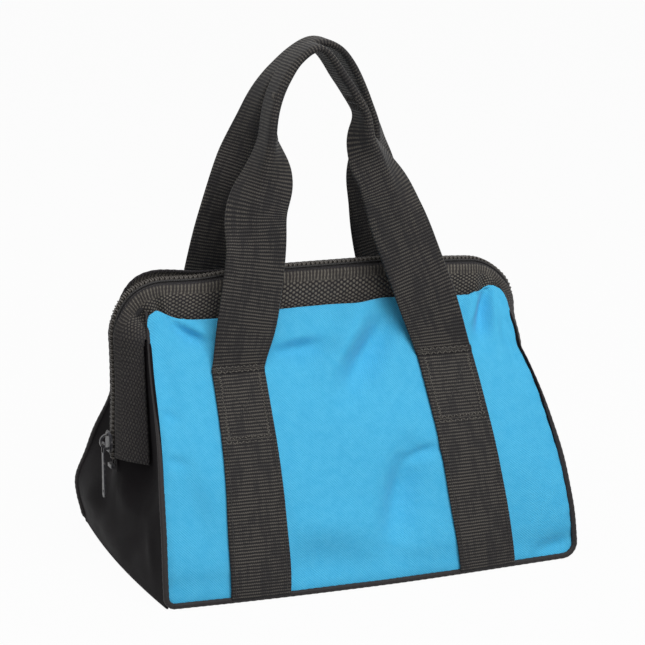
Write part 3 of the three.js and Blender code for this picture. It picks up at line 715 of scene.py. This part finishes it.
def tape():
    m = Mat("tape", Specular_IOR_Level=0.3)
    u, v, where = m.uv()
    zigzag = m.wave(u + m.math("ABSOLUTE", m.math("SINE", v * 1.3)) * 1.2, 1.3)
    yarn = m.noise(where, 1.8, 2.0)
    base = m.blend(zigzag * 0.6 + yarn * 0.4, rgb(20, 19, 21), rgb(44, 42, 43))
    return m.finish(base, m.mix(yarn, 0.75, 0.9), zigzag, 0.25, 0.6)


def piping_cloth():
    m = Mat("piping_cloth", Specular_IOR_Level=0.35, Sheen_Weight=0.08)
    u, v, _ = m.uv()
    twist = m.wave(u + v * 0.8, 1.5)
    pucker = m.noise(m.join(u, v * 0.3), 0.22, 2.0)
    base = m.blend(twist * 0.5 + pucker * 0.5, rgb(15, 12, 14), rgb(38, 33, 33))
    return m.finish(base, m.mix(pucker, 0.6, 0.8), twist * 0.5 + pucker * 1.4, 0.35, 0.7)


def thread(name, low, high):
    m = Mat(name, Specular_IOR_Level=0.4)
    u, v, _ = m.uv()
    ply = m.wave(u + v * 1.5, 0.5)
    return m.finish(m.blend(ply, low, high), m.mix(ply, 0.55, 0.7), ply, 0.08, 0.6)


def plastic(name, shine, noise, low, high, rough, relief):
    m = Mat(name, Specular_IOR_Level=shine)
    grain = m.noise(m.place(), *noise)
    return m.finish(m.blend(grain, low, high), m.mix(grain, *rough), grain, *relief)


def teeth_plastic(name, low, high):
    return plastic(name, 0.3, (0.9, 3.0), low, high, (0.48, 0.62), (0.05, 0.5))


def dark_metal():
    m = Mat("dark_metal", Metallic=0.85)
    where = m.place()
    wear = m.noise(where, 0.35, 4.0, 0.6)
    fine = m.noise(where, 2.4, 2.0)
    base = m.blend(m.step(wear, 0.45, 0.75), rgb(58, 58, 62), rgb(120, 118, 116))
    return m.finish(base, m.mix(wear, 0.3, 0.48), fine, 0.03, 0.5)


def board_plastic():
    low, high = rgb(44, 44, 46), rgb(70, 70, 72)
    return plastic("board_plastic", 0.4, (0.5, 4.0, 0.6), low, high, (0.5, 0.7), (0.2, 0.6))


BLUE = blue_cloth()
BLACK = black_cloth()
WEB = webbing()
KNIT = knit()
TAPE = tape()
CORD = piping_cloth()
THREAD = thread("thread", rgb(27, 25, 26), rgb(56, 53, 50))
TACK = thread("tack_thread", rgb(58, 55, 53), rgb(112, 107, 99))
PLASTIC = teeth_plastic("teeth_plastic", rgb(62, 59, 57), rgb(108, 103, 97))
RAIL = teeth_plastic("rail_plastic", rgb(20, 19, 20), rgb(40, 38, 38))
METAL = dark_metal()
BOARD = board_plastic()


# Panels, sewn legs, piping and base.


def name_of(back):
    return "back" if back else "front"


def sheet(back, name, grid, thick, uv, material, side=1):
    """A cloth of the front, or of the back, drawn at the front."""
    side = -side if back else side
    return shell(name_of(back) + name, place_side(grid, back), thick, uv, material, side=side)


def corner_push(z):
    """How far the front panel's top right corner reaches past the drawn-in mouth."""
    return 5.0 * smooth(158, 178, z) + 4.3 * bump(z, 188, 18) + 1.7 * bump(z, 138, 30)


def panel_edge(z, u):
    """Half length of the cut panel with its rounded corners."""
    low_radius = np.where(u < 0, BASE_TURN[-1], BASE_TURN[1])
    low = np.clip(low_radius - (z - PANEL_FOOT), 0, low_radius)
    high = np.clip(PANEL_CORNER - (PANEL_HEIGHT - z), 0, PANEL_CORNER)
    round_low = low_radius - np.sqrt(low_radius**2 - low**2)
    round_high = PANEL_CORNER - np.sqrt(PANEL_CORNER**2 - high**2)
    return panel_half(z) - 2.0 + 1.4 * smooth(105, 150, z) - round_low - round_high


def top_wave(x):
    """How far the panel's top edge stands above or below its nominal height."""
    rise = 6.0 * bump(x, -144, 11) + 6.0 * bump(x, 143, 12)
    return rise - 3.2 * bump(x, -95, 32) - 0.8 * bump(x, 100, 22) + 1.8 * bump(x, 44, 32)


def build_panel(back):
    low_rows = np.linspace(PANEL_FOOT, 12, 8)[:-1]
    rows = np.concatenate([low_rows, np.linspace(12, PANEL_HEIGHT, 118)])
    crowd = PI / 2 * 0.92
    z, u = spread_grid(rows, np.sin(np.linspace(-1, 1, 181) * crowd) / math.sin(crowd))
    x = panel_edge(z, u) * u
    lift = top_wave(-x if back else x) * smooth(168, 202, z)
    x = x if back else x + corner_push(z) * smooth(118, 150, x)
    grid = skin(x, z, back)
    grid[..., 2] += lift
    grid[..., 1] += lift * 0.45
    panel = sheet(back, "_panel_cloth", grid, CLOTH, np.stack([x, z * 1.12], -1), BLUE)
    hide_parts(name_of(back) + "_panel")


def strap_half(side, back, z):
    """Half width of the sewn webbing: the front left one is drawn in at its stitch line."""
    drawn = 3.4 if side < 0 and not back else 1.0
    return WEBBING / 2 - drawn * (0.3 + 0.7 * smooth(30, 150, z))


def leg_surface(x, z, back, offset):
    """Points a distance above the cloth under the sewn webbing, and their normals."""
    step = 0.6
    dx = skin(x + step, z, back, False) - skin(x - step, z, back, False)
    dz = skin(x, z + step, back, False) - skin(x, z - step, back, False)
    n = unit(np.cross(dx, dz))
    return skin(x, z, back, False) + n * np.asarray(offset)[..., None], n


def build_straps(back):
    z, u = spread_grid(np.linspace(3.5, STRAP_TOP, 96), np.linspace(-1, 1, 25))
    for side, label in SIDES:
        across = u * strap_half(side, back, z)
        wave = 0.12 * np.sin(z / 7.5 + side) * np.abs(across) / (WEBBING / 2)
        p, _ = leg_surface(side * leg_x(z) + across, z, back, STRAP_LIFT + wave)
        uv = np.stack([z * 1.14, across], -1)
        strap = sheet(back, f"_strap_{label}_webbing", p, STRAP_THICKNESS, uv, WEB)
        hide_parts(f"{name_of(back)}_strap_{label}")


def sew(x, z, back, lift=STITCH_LIFT):
    """Stitches along a line on the sewn webbing."""
    length = run_length(np.hypot(np.diff(x), np.diff(z)))
    starts = np.arange(int(length[-1] / STITCH_PITCH)) * STITCH_PITCH + 0.4
    s = starts[:, None] + np.array([0, STITCH_LENGTH])
    p, n = leg_surface(np.interp(s, length, x), np.interp(s, length, z), back, lift)
    normals = mirror_back(n[:, 0]) if back else n[:, 0]
    return list(zip(place_side(p[:, 0], back), place_side(p[:, 1], back), normals))


def build_stitching(back):
    """Lines down the legs' edges, a cross, and tacking round the box at the top."""
    plain, bright = [], []
    edge_z = np.linspace(6, 160, 60)
    tack_z = np.linspace(117, 160, 33)
    zigzag = (-1.0) ** np.arange(len(tack_z))
    box_low, box_high, box_half = 115.0, 157.5, 17.5
    for side, _ in SIDES:
        for edge in (-1, 1):
            reach = strap_half(side, back, edge_z) - 2.7
            plain += sew(side * leg_x(edge_z) + edge * reach, edge_z, back)
        for edge in (-1, 1):
            reach = strap_half(side, back, tack_z) - 4.6 + 1.5 * zigzag
            bright += sew(side * leg_x(tack_z) + edge * reach, tack_z, back)
        for row, lift in ((113.2, 2.7), (116.4, 2.7), (161.0, 3.5), (164.2, 3.5)):
            across = np.linspace(-1, 1, 17) * (strap_half(side, back, row) - 2.2)
            bright += sew(side * leg_x(row) + across, row + 1.1 * zigzag[:17], back, lift)
        for lean in (-box_half, box_half):
            low_x = side * leg_x(box_low) + lean
            high_x = side * leg_x(box_high) - lean
            line = np.linspace(low_x, high_x, 20), np.linspace(box_low, box_high, 20)
            plain += sew(*line, back)
    for ends, label, radius, material in (
        (plain, "_strap_stitching", 0.34, THREAD),
        (bright, "_strap_tacking", 0.42, TACK),
    ):
        sewing = stitches(name_of(back) + label, ends, radius, material, "bag")


def build_ridges(back):
    """A thick sewn ridge across each leg, where the handle starts."""
    rows, cols = spread_grid(np.linspace(-1, 1, 13), np.linspace(-1, 1, 33))
    z = STRAP_TOP + rows * 2.7
    dome = np.sqrt(1 - rows**2) * (1 + 0.1 * np.sin(cols * 31))
    for side, label in SIDES:
        x = side * leg_x(LEG_TOP) + cols * (strap_half(side, back, LEG_TOP) + 0.3)
        p, _ = leg_surface(x, z, back, 2.2 + 1.1 * dome)
        uv = np.stack([z * 2.0, x], -1)
        ridge = sheet(back, f"_{label}_leg_bartack", p, 1.2, uv, WEB)


def piping_half(side):
    """Down one side of a panel, round its lower corner and along to the middle."""
    turn = BASE_TURN[side] + 1.0
    low = 2.4
    foot = low + turn
    down = np.linspace(203.5, foot, 130)
    angle = np.linspace(0, PI / 2, 16)[1:]
    centre_x = panel_half(foot) - turn
    run = np.linspace(centre_x, 0, 90)[1:]
    x = np.concatenate([panel_half(down), centre_x + turn * np.cos(angle), run])
    z = np.concatenate([down, foot - turn * np.sin(angle), np.full(len(run), low)])
    return side * x, z


def build_piping(back):
    (left_x, left_z), (right_x, right_z) = piping_half(-1), piping_half(1)
    x = np.concatenate([left_x, right_x[-2::-1]])
    z = np.concatenate([left_z, right_z[-2::-1]])
    drawn_in = smooth(110, 150, z)
    x = x - np.sign(x) * 0.8 * drawn_in
    if not back:
        x = x + corner_push(z) * smooth(118, 150, x)
    lift = 3.5 * smooth(192, 203, z)
    path = np.stack([x, -depth_half(z) + lift * 0.4 + 1.8 * drawn_in, z + lift], -1)
    pucker = 1 + 0.05 * np.sin(np.arange(len(path)) * 1.9)
    taper = (1 - 0.45 * smooth(190, 203, z)) * (1 - 0.3 * smooth(70, 130, z))
    radius = PIPING_RADIUS * pucker * taper
    cord = tube(name_of(back) + "_piping_cord", place_side(path, back), radius, CORD)
    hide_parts(name_of(back) + "_piping")


for is_back in (False, True):
    build_panel(is_back)
    build_straps(is_back)
    build_stitching(is_back)
    build_ridges(is_back)
    build_piping(is_back)


def build_base():
    half_y = 114.0
    half_x = BASE_LENGTH / 2 - (BASE_TURN[-1] + BASE_TURN[1]) / 2 + 1.0
    middle_x = (BASE_TURN[-1] - BASE_TURN[1]) / 2
    y, u = spread_grid(np.linspace(-half_y, half_y, 44), np.linspace(-1, 1, 60))
    x = middle_x + half_x * u
    edge = np.minimum(half_x - np.abs(x - middle_x), half_y - np.abs(y))
    outer = settle(np.stack([x, y, 0.3 * bump(edge, 0, 3.0)], -1))
    panel = shell("base_cloth", outer, -CLOTH, np.stack([x, y], -1), BLACK)
    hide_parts("base_panel")


build_base()


# End walls.


def gusset_wrinkles(side, y, z):
    total = np.zeros(y.shape)
    for y0, z0, y1, z1, width, height in GUSSET_FOLDS:
        total = total + height * near_line(y, z, y0 * side, z0, y1 * side, z1, width)
    total = total * smooth(0, 16, z) * (1 - smooth(96, 120, z))
    under_stop = (1 - smooth(8, 16, np.abs(y))) * smooth(62, 76, z)
    return total * smooth(0, 14, depth_half(z) - np.abs(y)) * (1 - under_stop)


def soft_end_x(y, z):
    """How far out the end wall stands, with its creases evened out low down."""
    spread = 13.0 * (1 - smooth(80, 98, z)) * smooth(0, 26, depth_half(z) - np.abs(y))
    shares = {-1.0: 0.06, -0.66: 0.12, -0.33: 0.2, 0.0: 0.24, 0.33: 0.2, 0.66: 0.12, 1.0: 0.06}
    return sum(share * end_x(y + step * spread, z) for step, share in shares.items())


def build_gusset(gusset_side, gusset_name):
    low_rows = np.linspace(0.2, 12, 12)[:-1]
    middle_rows = np.linspace(12, 90, 50)[:-1]
    rows = np.concatenate([low_rows, middle_rows, np.linspace(90, 186, 52)])
    z, u = spread_grid(rows, np.linspace(-1, 1, 121))
    y = (depth_half(z) + 0.3 - 2.4 * (1 - smooth(0, 8, z))) * u
    curl = GUSSET_TURN[gusset_side]
    tuck = curl - np.sqrt(curl**2 - np.clip(curl - z, 0, curl) ** 2)
    x = soft_end_x(y, z) + gusset_wrinkles(gusset_side, y, z) - tuck
    if gusset_side > 0:
        x = x + corner_push(z) * smooth(band_width(z) - 1, depth_half(z) - 1, -y)
    outer = settle(np.stack([gusset_side * x, y, z], -1))
    uv = np.stack([y, z * 1.05], -1)
    gusset = shell(gusset_name + "_gusset_cloth", outer, CLOTH, uv, BLACK, side=gusset_side)
    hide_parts(gusset_name + "_gusset")


for end_side, end_name in SIDES:
    build_gusset(end_side, end_name)


# Mouth bands, tapes and zip teeth. Across the mouth u runs from the zip, and
# along it s runs from the left end.


def mouth_normals(u, s):
    """Directions out of the mouth's surface."""
    e = 1e-3
    du = mouth_skin(u + e, s) - mouth_skin(u - e, s)
    ds = mouth_skin(u, s + e * 300) - mouth_skin(u, s - e * 300)
    n = unit(np.cross(du, ds))
    from_inside = mouth_skin(u, s) - np.array([0, 0, 120.0])
    return np.where(np.sum(n * from_inside, -1, keepdims=True) < 0, -n, n)


def from_chain(s, distance):
    """Where u starts so that the cloth begins a distance from the middle of the chain."""
    _, z, _, _, turn = zip_line(s)
    past = distance - CHAIN_EDGE
    at_end = past / (band_width(np.minimum(z, CORNER_Z)) - CHAIN_EDGE)
    at_top = 1 - (1 - past / (BAND_TOP_WIDTH - CHAIN_EDGE)) ** (1 / BAND_TOP_SWELL)
    return mix(at_end, at_top, smooth(0, 0.5, turn))


def band_layer(u, s, offset, lift=0.0):
    """Points a distance above the mouth's surface, then lifted away from the zip line."""
    _, _, nx, nz, _ = zip_line(s)
    points = mouth_skin(u, s) + mouth_normals(u, s) * np.asarray(offset)[..., None]
    return points + np.stack(np.broadcast_arrays(nx * lift, 0.0, nz * lift), -1)


def lip_lift(share, s, back):
    """The band stands up beside the chain, highest at the back near the slider's end."""
    x, z, _, _, turn = zip_line(s)
    if back:
        lift = 3.2 + 5.4 * bump(x, -134, 38) * (z > CORNER_Z)
    else:
        lift = 0.4 - 1.0 * smooth(0.6, 1, turn)
    return lift * smooth(0.2, 0.8, turn) * bump(share, 0, 0.3)


def band_height(share, s):
    """Height of the band over the mouth's surface: a rounded lip, creases at the corners."""
    left = s < ZIP_RUN / 2
    t = np.where(left, s, ZIP_RUN - s) - LEG_RUN - CORNER_RUN * 0.52
    lip = 2.3 + 0.7 * smooth(0.03, 0.09, share)
    belly = np.sin(PI * share)
    crease = -6.6 * bump(t + share * 9, 0, 8.5) * smooth(0.1, 0.55, share)
    second = -4.2 * bump(t - 25 + share * 12, 0, 6.0) * smooth(0.15, 0.6, share)
    puff = 1.8 * bump(t, -18, 10) * belly
    ripple = 0.3 * np.sin(s / 8.5) * belly + 0.12 * np.sin(s * 2 * PI / 5.7)
    return lip + np.where(left, 1.0, 0.6) * (crease + second + puff) + ripple


def build_band(back):
    end = BAND_END - ZIP_END
    shares = np.concatenate([np.linspace(0, 0.2, 14)[:-1], np.linspace(0.2, 1.0, 24)])
    share, s = spread_grid(shares, np.linspace(end, ZIP_RUN - end, 640))
    start = from_chain(s, 5.35)
    u = start + (1 - start) * share
    grid = band_layer(u, s, band_height(share, s), lip_lift(share, s, back))
    uv = np.stack([s, path_length(grid)], -1)
    band = sheet(back, "_band_knit", grid, CLOTH, uv, KNIT, side=-1)
    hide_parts(name_of(back) + "_band")


def build_tape(back):
    past = 6
    share, s = spread_grid(np.linspace(0, 1, 12), np.linspace(-past, ZIP_RUN + past, 400))
    from_end = np.minimum(s, ZIP_RUN - s) + past
    u = mix(0.005, mix(0.07, 0.42, smooth(12, 15, from_end)), share)
    grid = band_layer(u, s, 1.1)
    uv = np.stack([s, path_length(grid)], -1)
    cloth = sheet(back, "_tape_cloth", grid, 0.8, uv, TAPE, side=-1)
    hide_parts(name_of(back) + "_zip_tape")


def build_rail(back):
    """Beaded cord that holds the teeth to the tape."""
    run = np.linspace(TEETH_START, ZIP_RUN - TEETH_START, 1500)
    u, s = spread_grid(np.linspace(-1, 1, 7), run)
    y = -4.1 + u * 0.95
    bead = 1 + 0.28 * np.cos(s * 4 * PI / TOOTH_PITCH)
    grid = off_zip(s, y, 1.2 + 1.15 * np.sqrt(1 - u**2) * bead)
    verts, faces, uv = shell_arrays(grid, 1.0, np.stack([s, y], -1))
    name = name_of(back) + "_teeth_rail"
    cord = make_mesh(name, place_side(verts, back), faces, uv, RAIL, "bag")


def build_teeth(back):
    """Each tooth has a waist, and a rounded head that sits between two heads opposite."""
    phase = 0.75 if back else 0.25
    half = [(-4.0, 0.6), (-1.4, 0.66), (-0.4, 0.5), (0.6, 0.8), (1.5, 0.84), (2.1, 0.5)]
    across, along = np.array([(y, -wide) for y, wide in half] + half[::-1]).T
    below_top = np.array([1.3, 0.65, 0.4])
    height = np.concatenate([[CHAIN_LOW], CHAIN_HIGH - below_top])[:, None]
    scale = np.array([1.0, 1.0, 0.86, 0.5])[:, None]
    y = mix(across.mean(), across, 0.5 + 0.5 * scale)
    middles = TEETH_START + (np.arange(TOOTH_COUNT) + phase) * TOOTH_PITCH
    s = middles[:, None, None] + along * scale
    points = off_zip(s, y, height)
    uv = np.stack(np.broadcast_arrays(s, y), -1).reshape(-1, 2)
    faces = []
    for tooth in np.arange(s.size).reshape(s.shape):
        faces += ring_faces(tooth).tolist()
        faces += [tooth[0][::-1].tolist(), tooth[-1].tolist()]
    name = name_of(back) + "_teeth"
    verts = place_side(points.reshape(-1, 3), back)
    teeth = make_mesh(name, verts, faces, uv, PLASTIC, "bag", shade=False)
    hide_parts(name_of(back) + "_zip_teeth")


for is_back in (False, True):
    build_band(is_back)
    build_tape(is_back)
    build_rail(is_back)
    build_teeth(is_back)


# Handles.


def catmull(points):
    """Centripetal curve through points, each span in equal steps."""
    p = np.array(points, float)
    p = np.concatenate([2 * p[:1] - p[1:2], p, 2 * p[-1:] - p[-2:-1]])
    knots = run_length(np.sqrt(np.linalg.norm(np.diff(p, axis=0), axis=1)))
    out = []
    for i in range(1, len(p) - 2):
        p0, p1, p2, p3 = p[i - 1 : i + 3]
        t0, t1, t2, t3 = knots[i - 1 : i + 3]
        t = np.linspace(t1, t2, 60, endpoint=False)[:, None]
        a1 = mix(p0, p1, (t - t0) / (t1 - t0))
        a2 = mix(p1, p2, (t - t1) / (t2 - t1))
        a3 = mix(p2, p3, (t - t2) / (t3 - t2))
        b1 = mix(a1, a2, (t - t0) / (t2 - t0))
        b2 = mix(a2, a3, (t - t1) / (t3 - t1))
        out.append(mix(b1, b2, (t - t1) / (t2 - t1)))
    out.append(p[-2:-1])
    return np.concatenate(out)


def handle_share(z):
    """Height up the handle, 0 at its hinge and 1 at its top."""
    return (z - HINGE_Z) / (HANDLE_PEAK - HINGE_Z)


def handle_path(loop):
    """Middle line of a handle at even steps, and each point's length along it."""
    foot_y = -HINGE_Y + WEBBING_THICKNESS / 2
    top_y = -WEBBING / 4 - loop["apart"]
    spread = leg_x(LEG_TOP)
    half = [(spread, HINGE_Z - 1.4)]
    half += [(x * spread, mix(HINGE_Z, HANDLE_PEAK, z)) for x, z in loop["shape"]]
    points = []
    for x, z in [(-x, z) for x, z in half] + [(0, HANDLE_PEAK)] + half[::-1]:
        share = handle_share(z)
        lean = loop["lean"] * float(smooth(0.1, 0.8, share))
        lean += loop["sway"] * math.sin(PI * share)
        points.append((x - lean, mix(foot_y, top_y, share), z))
    path = catmull(points)
    for x, z, reach, dx, dz in loop["nudges"]:
        near = np.exp(-((path[:, 0] - x) ** 2 + (path[:, 2] - z) ** 2) / reach**2)
        path[:, 0] += dx * near
        path[:, 2] += dz * near
    length = path_length(path)
    s = np.linspace(0, length[-1], 420)
    return np.stack([np.interp(s, length, column) for column in path.T], -1), s


def fold_section(outside, inside, r):
    """Middle line of the webbing folded along its centre, for each station."""
    bend = 2.6
    turn = np.tanh(r / bend) / np.tanh(WEBBING / 2 / bend)
    phi = np.where(r > 0, outside[:, None], inside[:, None]) * turn
    between = (phi[:, 1:] + phi[:, :-1]) / 2
    middle = len(r) // 2
    section = []
    for part in (np.cos, np.sin):
        run = np.pad(np.cumsum(part(between) * np.diff(r), 1), ((0, 0), (1, 0)))
        section.append(run - run[:, middle : middle + 1])
    return (*section, phi)


def handle_sheet(back):
    """Outer face of a handle drawn at the front, its normals, and where each point lies."""
    loop = BACK_LOOP if back else FRONT_LOOP
    path, s = handle_path(loop)
    depth = np.array([0.0, 1.0, 0.0])
    share = handle_share(path[:, 2])
    left = s < s[-1] / 2
    from_foot = np.minimum(s, s[-1] - s)

    # The legs leave the stitch line upright.
    upright = 0.95 * (1 - smooth(0, 62, from_foot))[:, None]
    up = np.where(left, 1.0, -1.0)[:, None] * np.array([0, 0, 1.0])
    along = unit(mix(unit(np.gradient(path, axis=0)), up, upright))
    across = unit(np.cross(along, depth))

    turned = []
    for edge in ("outside", "inside"):
        both = [smooth(*span, share) for span in loop[edge]]
        turned.append(np.radians(88.0) * np.where(left, *both))
    r = np.linspace(-WEBBING / 2, WEBBING / 2, 41)
    a, b, phi = fold_section(*turned, r)
    if back:
        b, phi = -b, -phi
    b = b - (b[:, -1:] + b[:, :1]) / 4

    # The webbing is drawn in at its feet, curls at its edges, and its two
    # layers are a little uneven and pinched together at the very top.
    of_half = r / (WEBBING / 2)
    column = share[:, None]
    drawn = np.where(left & (not back), 0.125, 0.03) * bump(from_foot, 0, 26)
    a = a * (1 - 0.22 * smooth(0.9, 1.0, column)) * (1 - drawn[:, None])
    ripple = 0.35 * np.sin(s / 17.0)[:, None] * of_half * smooth(0.02, 0.2, column)
    curl = smooth(0.05, 0.3, column) * (1 - smooth(0.5, 0.8, column))
    b = b + ripple + 1.1 * np.abs(of_half) ** 3 * curl
    centre = path[:, None] + across[:, None] * a[..., None] + depth * b[..., None]
    normal = unit(across[:, None] * np.sin(phi)[..., None] - depth * np.cos(phi)[..., None])
    return centre + normal * WEBBING_THICKNESS / 2, normal, s, r, share


def grip_stitches(name, outer, normal, share, left):
    """Zigzag rows across the grips, at shares of the handle's height."""
    for kind, look, legs, heights, columns in (
        ("bartack", THREAD, ~left, (0.815, 0.835), range(4, 37, 2)),
        ("stitch", TACK, left, (0.85,), range(25, 28, 2)),
    ):
        ends = []
        for height in heights:
            here = np.where(legs)[0]
            station = here[np.argmin(np.abs(share[here] - height))]
            for j in columns:
                jump = 2 if j % 4 else -2
                start, stop = (station - jump, j), (station + jump, j + 1)
                near = outer[start] + normal[station, j] * 0.15
                far = outer[stop] + normal[stop] * 0.15
                ends.append((near, far, normal[station, j]))
        tack = stitches(name + "_grip_" + kind, ends, 0.42, look, name + "_grip")


def build_handle(back):
    label = name_of(back)
    outer, normal, s, r, share = handle_sheet(back)
    if back:
        outer, normal = mirror_back(outer), mirror_back(normal)
    uv = np.stack(spread_grid(s, r), -1)
    name = label + "_handle_webbing"
    side = 1 if back else -1
    handle = shell(name, outer, WEBBING_THICKNESS, uv, WEB, body=None, side=side)
    grip_stitches(label, outer, normal, share, s < s[-1] / 2)
    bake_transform(handle)
    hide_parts(label + "_handle")


build_handle(False)
build_handle(True)


# CAD pieces whose shape is right.

for node in ("zip_slider", "zip_pull", "left_zip_stop", "right_zip_stop", "base_board"):
    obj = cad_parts[node]
    obj.data.materials.clear()
    obj.data.materials.append(BOARD if node == "base_board" else METAL)


# Floor, light and camera.

WHITE = (1, 1, 1, 1)


def build_floor():
    size = 6.0
    corners = [(-size, -size, 0), (size, -size, 0), (size, size, 0), (-size, size, 0)]
    mesh = bpy.data.meshes.new("floor")
    mesh.from_pydata(corners, [], [(0, 1, 2, 3)])
    obj = add_object("floor", mesh)
    m = Mat("pale_floor", Base_Color=(0.5, 0.5, 0.5, 1), Roughness=0.9, Specular_IOR_Level=0.1)
    glow = m.node("Emission", {"Color": WHITE, "Strength": 1.0})
    surface = m.tree.nodes["Material Output"].inputs["Surface"]
    m.plug(surface, m.shown(0.965, m.shader, glow))
    mesh.materials.append(m.data)


def build_world():
    w = bpy.data.worlds.new("studio")
    bpy.context.scene.world = w
    w.use_nodes = True
    nodes = Nodes(w.node_tree)
    nodes.tree.nodes.clear()
    lit = nodes.node("Background", {"Color": (0.86, 0.88, 0.9, 1), "Strength": 0.18})
    white = nodes.node("Background", {"Color": WHITE, "Strength": 1.0})
    nodes.node("OutputWorld", {"Surface": nodes.shown(1.0, lit, white)})


def lamp(name, place, target, size, power):
    data = bpy.data.lights.new(name, "AREA")
    data.shape = "SQUARE"
    data.size = size
    data.energy = power
    obj = add_object(name, data)
    obj.location = place
    obj.rotation_euler = (Vector(target) - Vector(place)).to_track_quat("-Z", "Y").to_euler()


def build_camera():
    """The photograph's view: turned to the left, looking down a little."""
    turn, down, roll = 0.3681309, 0.2273666, 0.0005219
    distance = 1910.2345
    target = np.array([1.5766, 0.0, 183.3782])
    photo_size, focal_length = 645.0, 2364.0
    level = [math.sin(turn) * math.cos(down), math.cos(turn) * math.cos(down)]
    forward = np.array([*level, -math.sin(down)])
    flat_right = np.array([math.cos(turn), -math.sin(turn), 0.0])
    flat_up = np.cross(flat_right, forward)
    right = flat_right * math.cos(roll) + flat_up * math.sin(roll)
    up = flat_up * math.cos(roll) - flat_right * math.sin(roll)
    place = (target - forward * distance) * MM
    data = bpy.data.cameras.new("photo_camera")
    data.sensor_width = 36.0
    data.lens = data.sensor_width * focal_length / photo_size
    data.clip_end = 50.0
    obj = add_object("photo_camera", data)
    obj.matrix_world = Matrix([*zip(right, up, -forward, place), (0, 0, 0, 1)])
    bpy.context.scene.camera = obj


build_floor()
build_world()
lamp("key", (0.2, -1.95, 1.95), (0, 0, 0.15), 2.0, 54)
lamp("fill", (-1.9, -1.1, 1.0), (0, 0, 0.15), 1.4, 0.5)
lamp("top", (0.1, -0.3, 2.3), (0, 0, 0.2), 1.6, 15)
build_camera()
bpy.context.scene.view_settings.view_transform = "Standard"
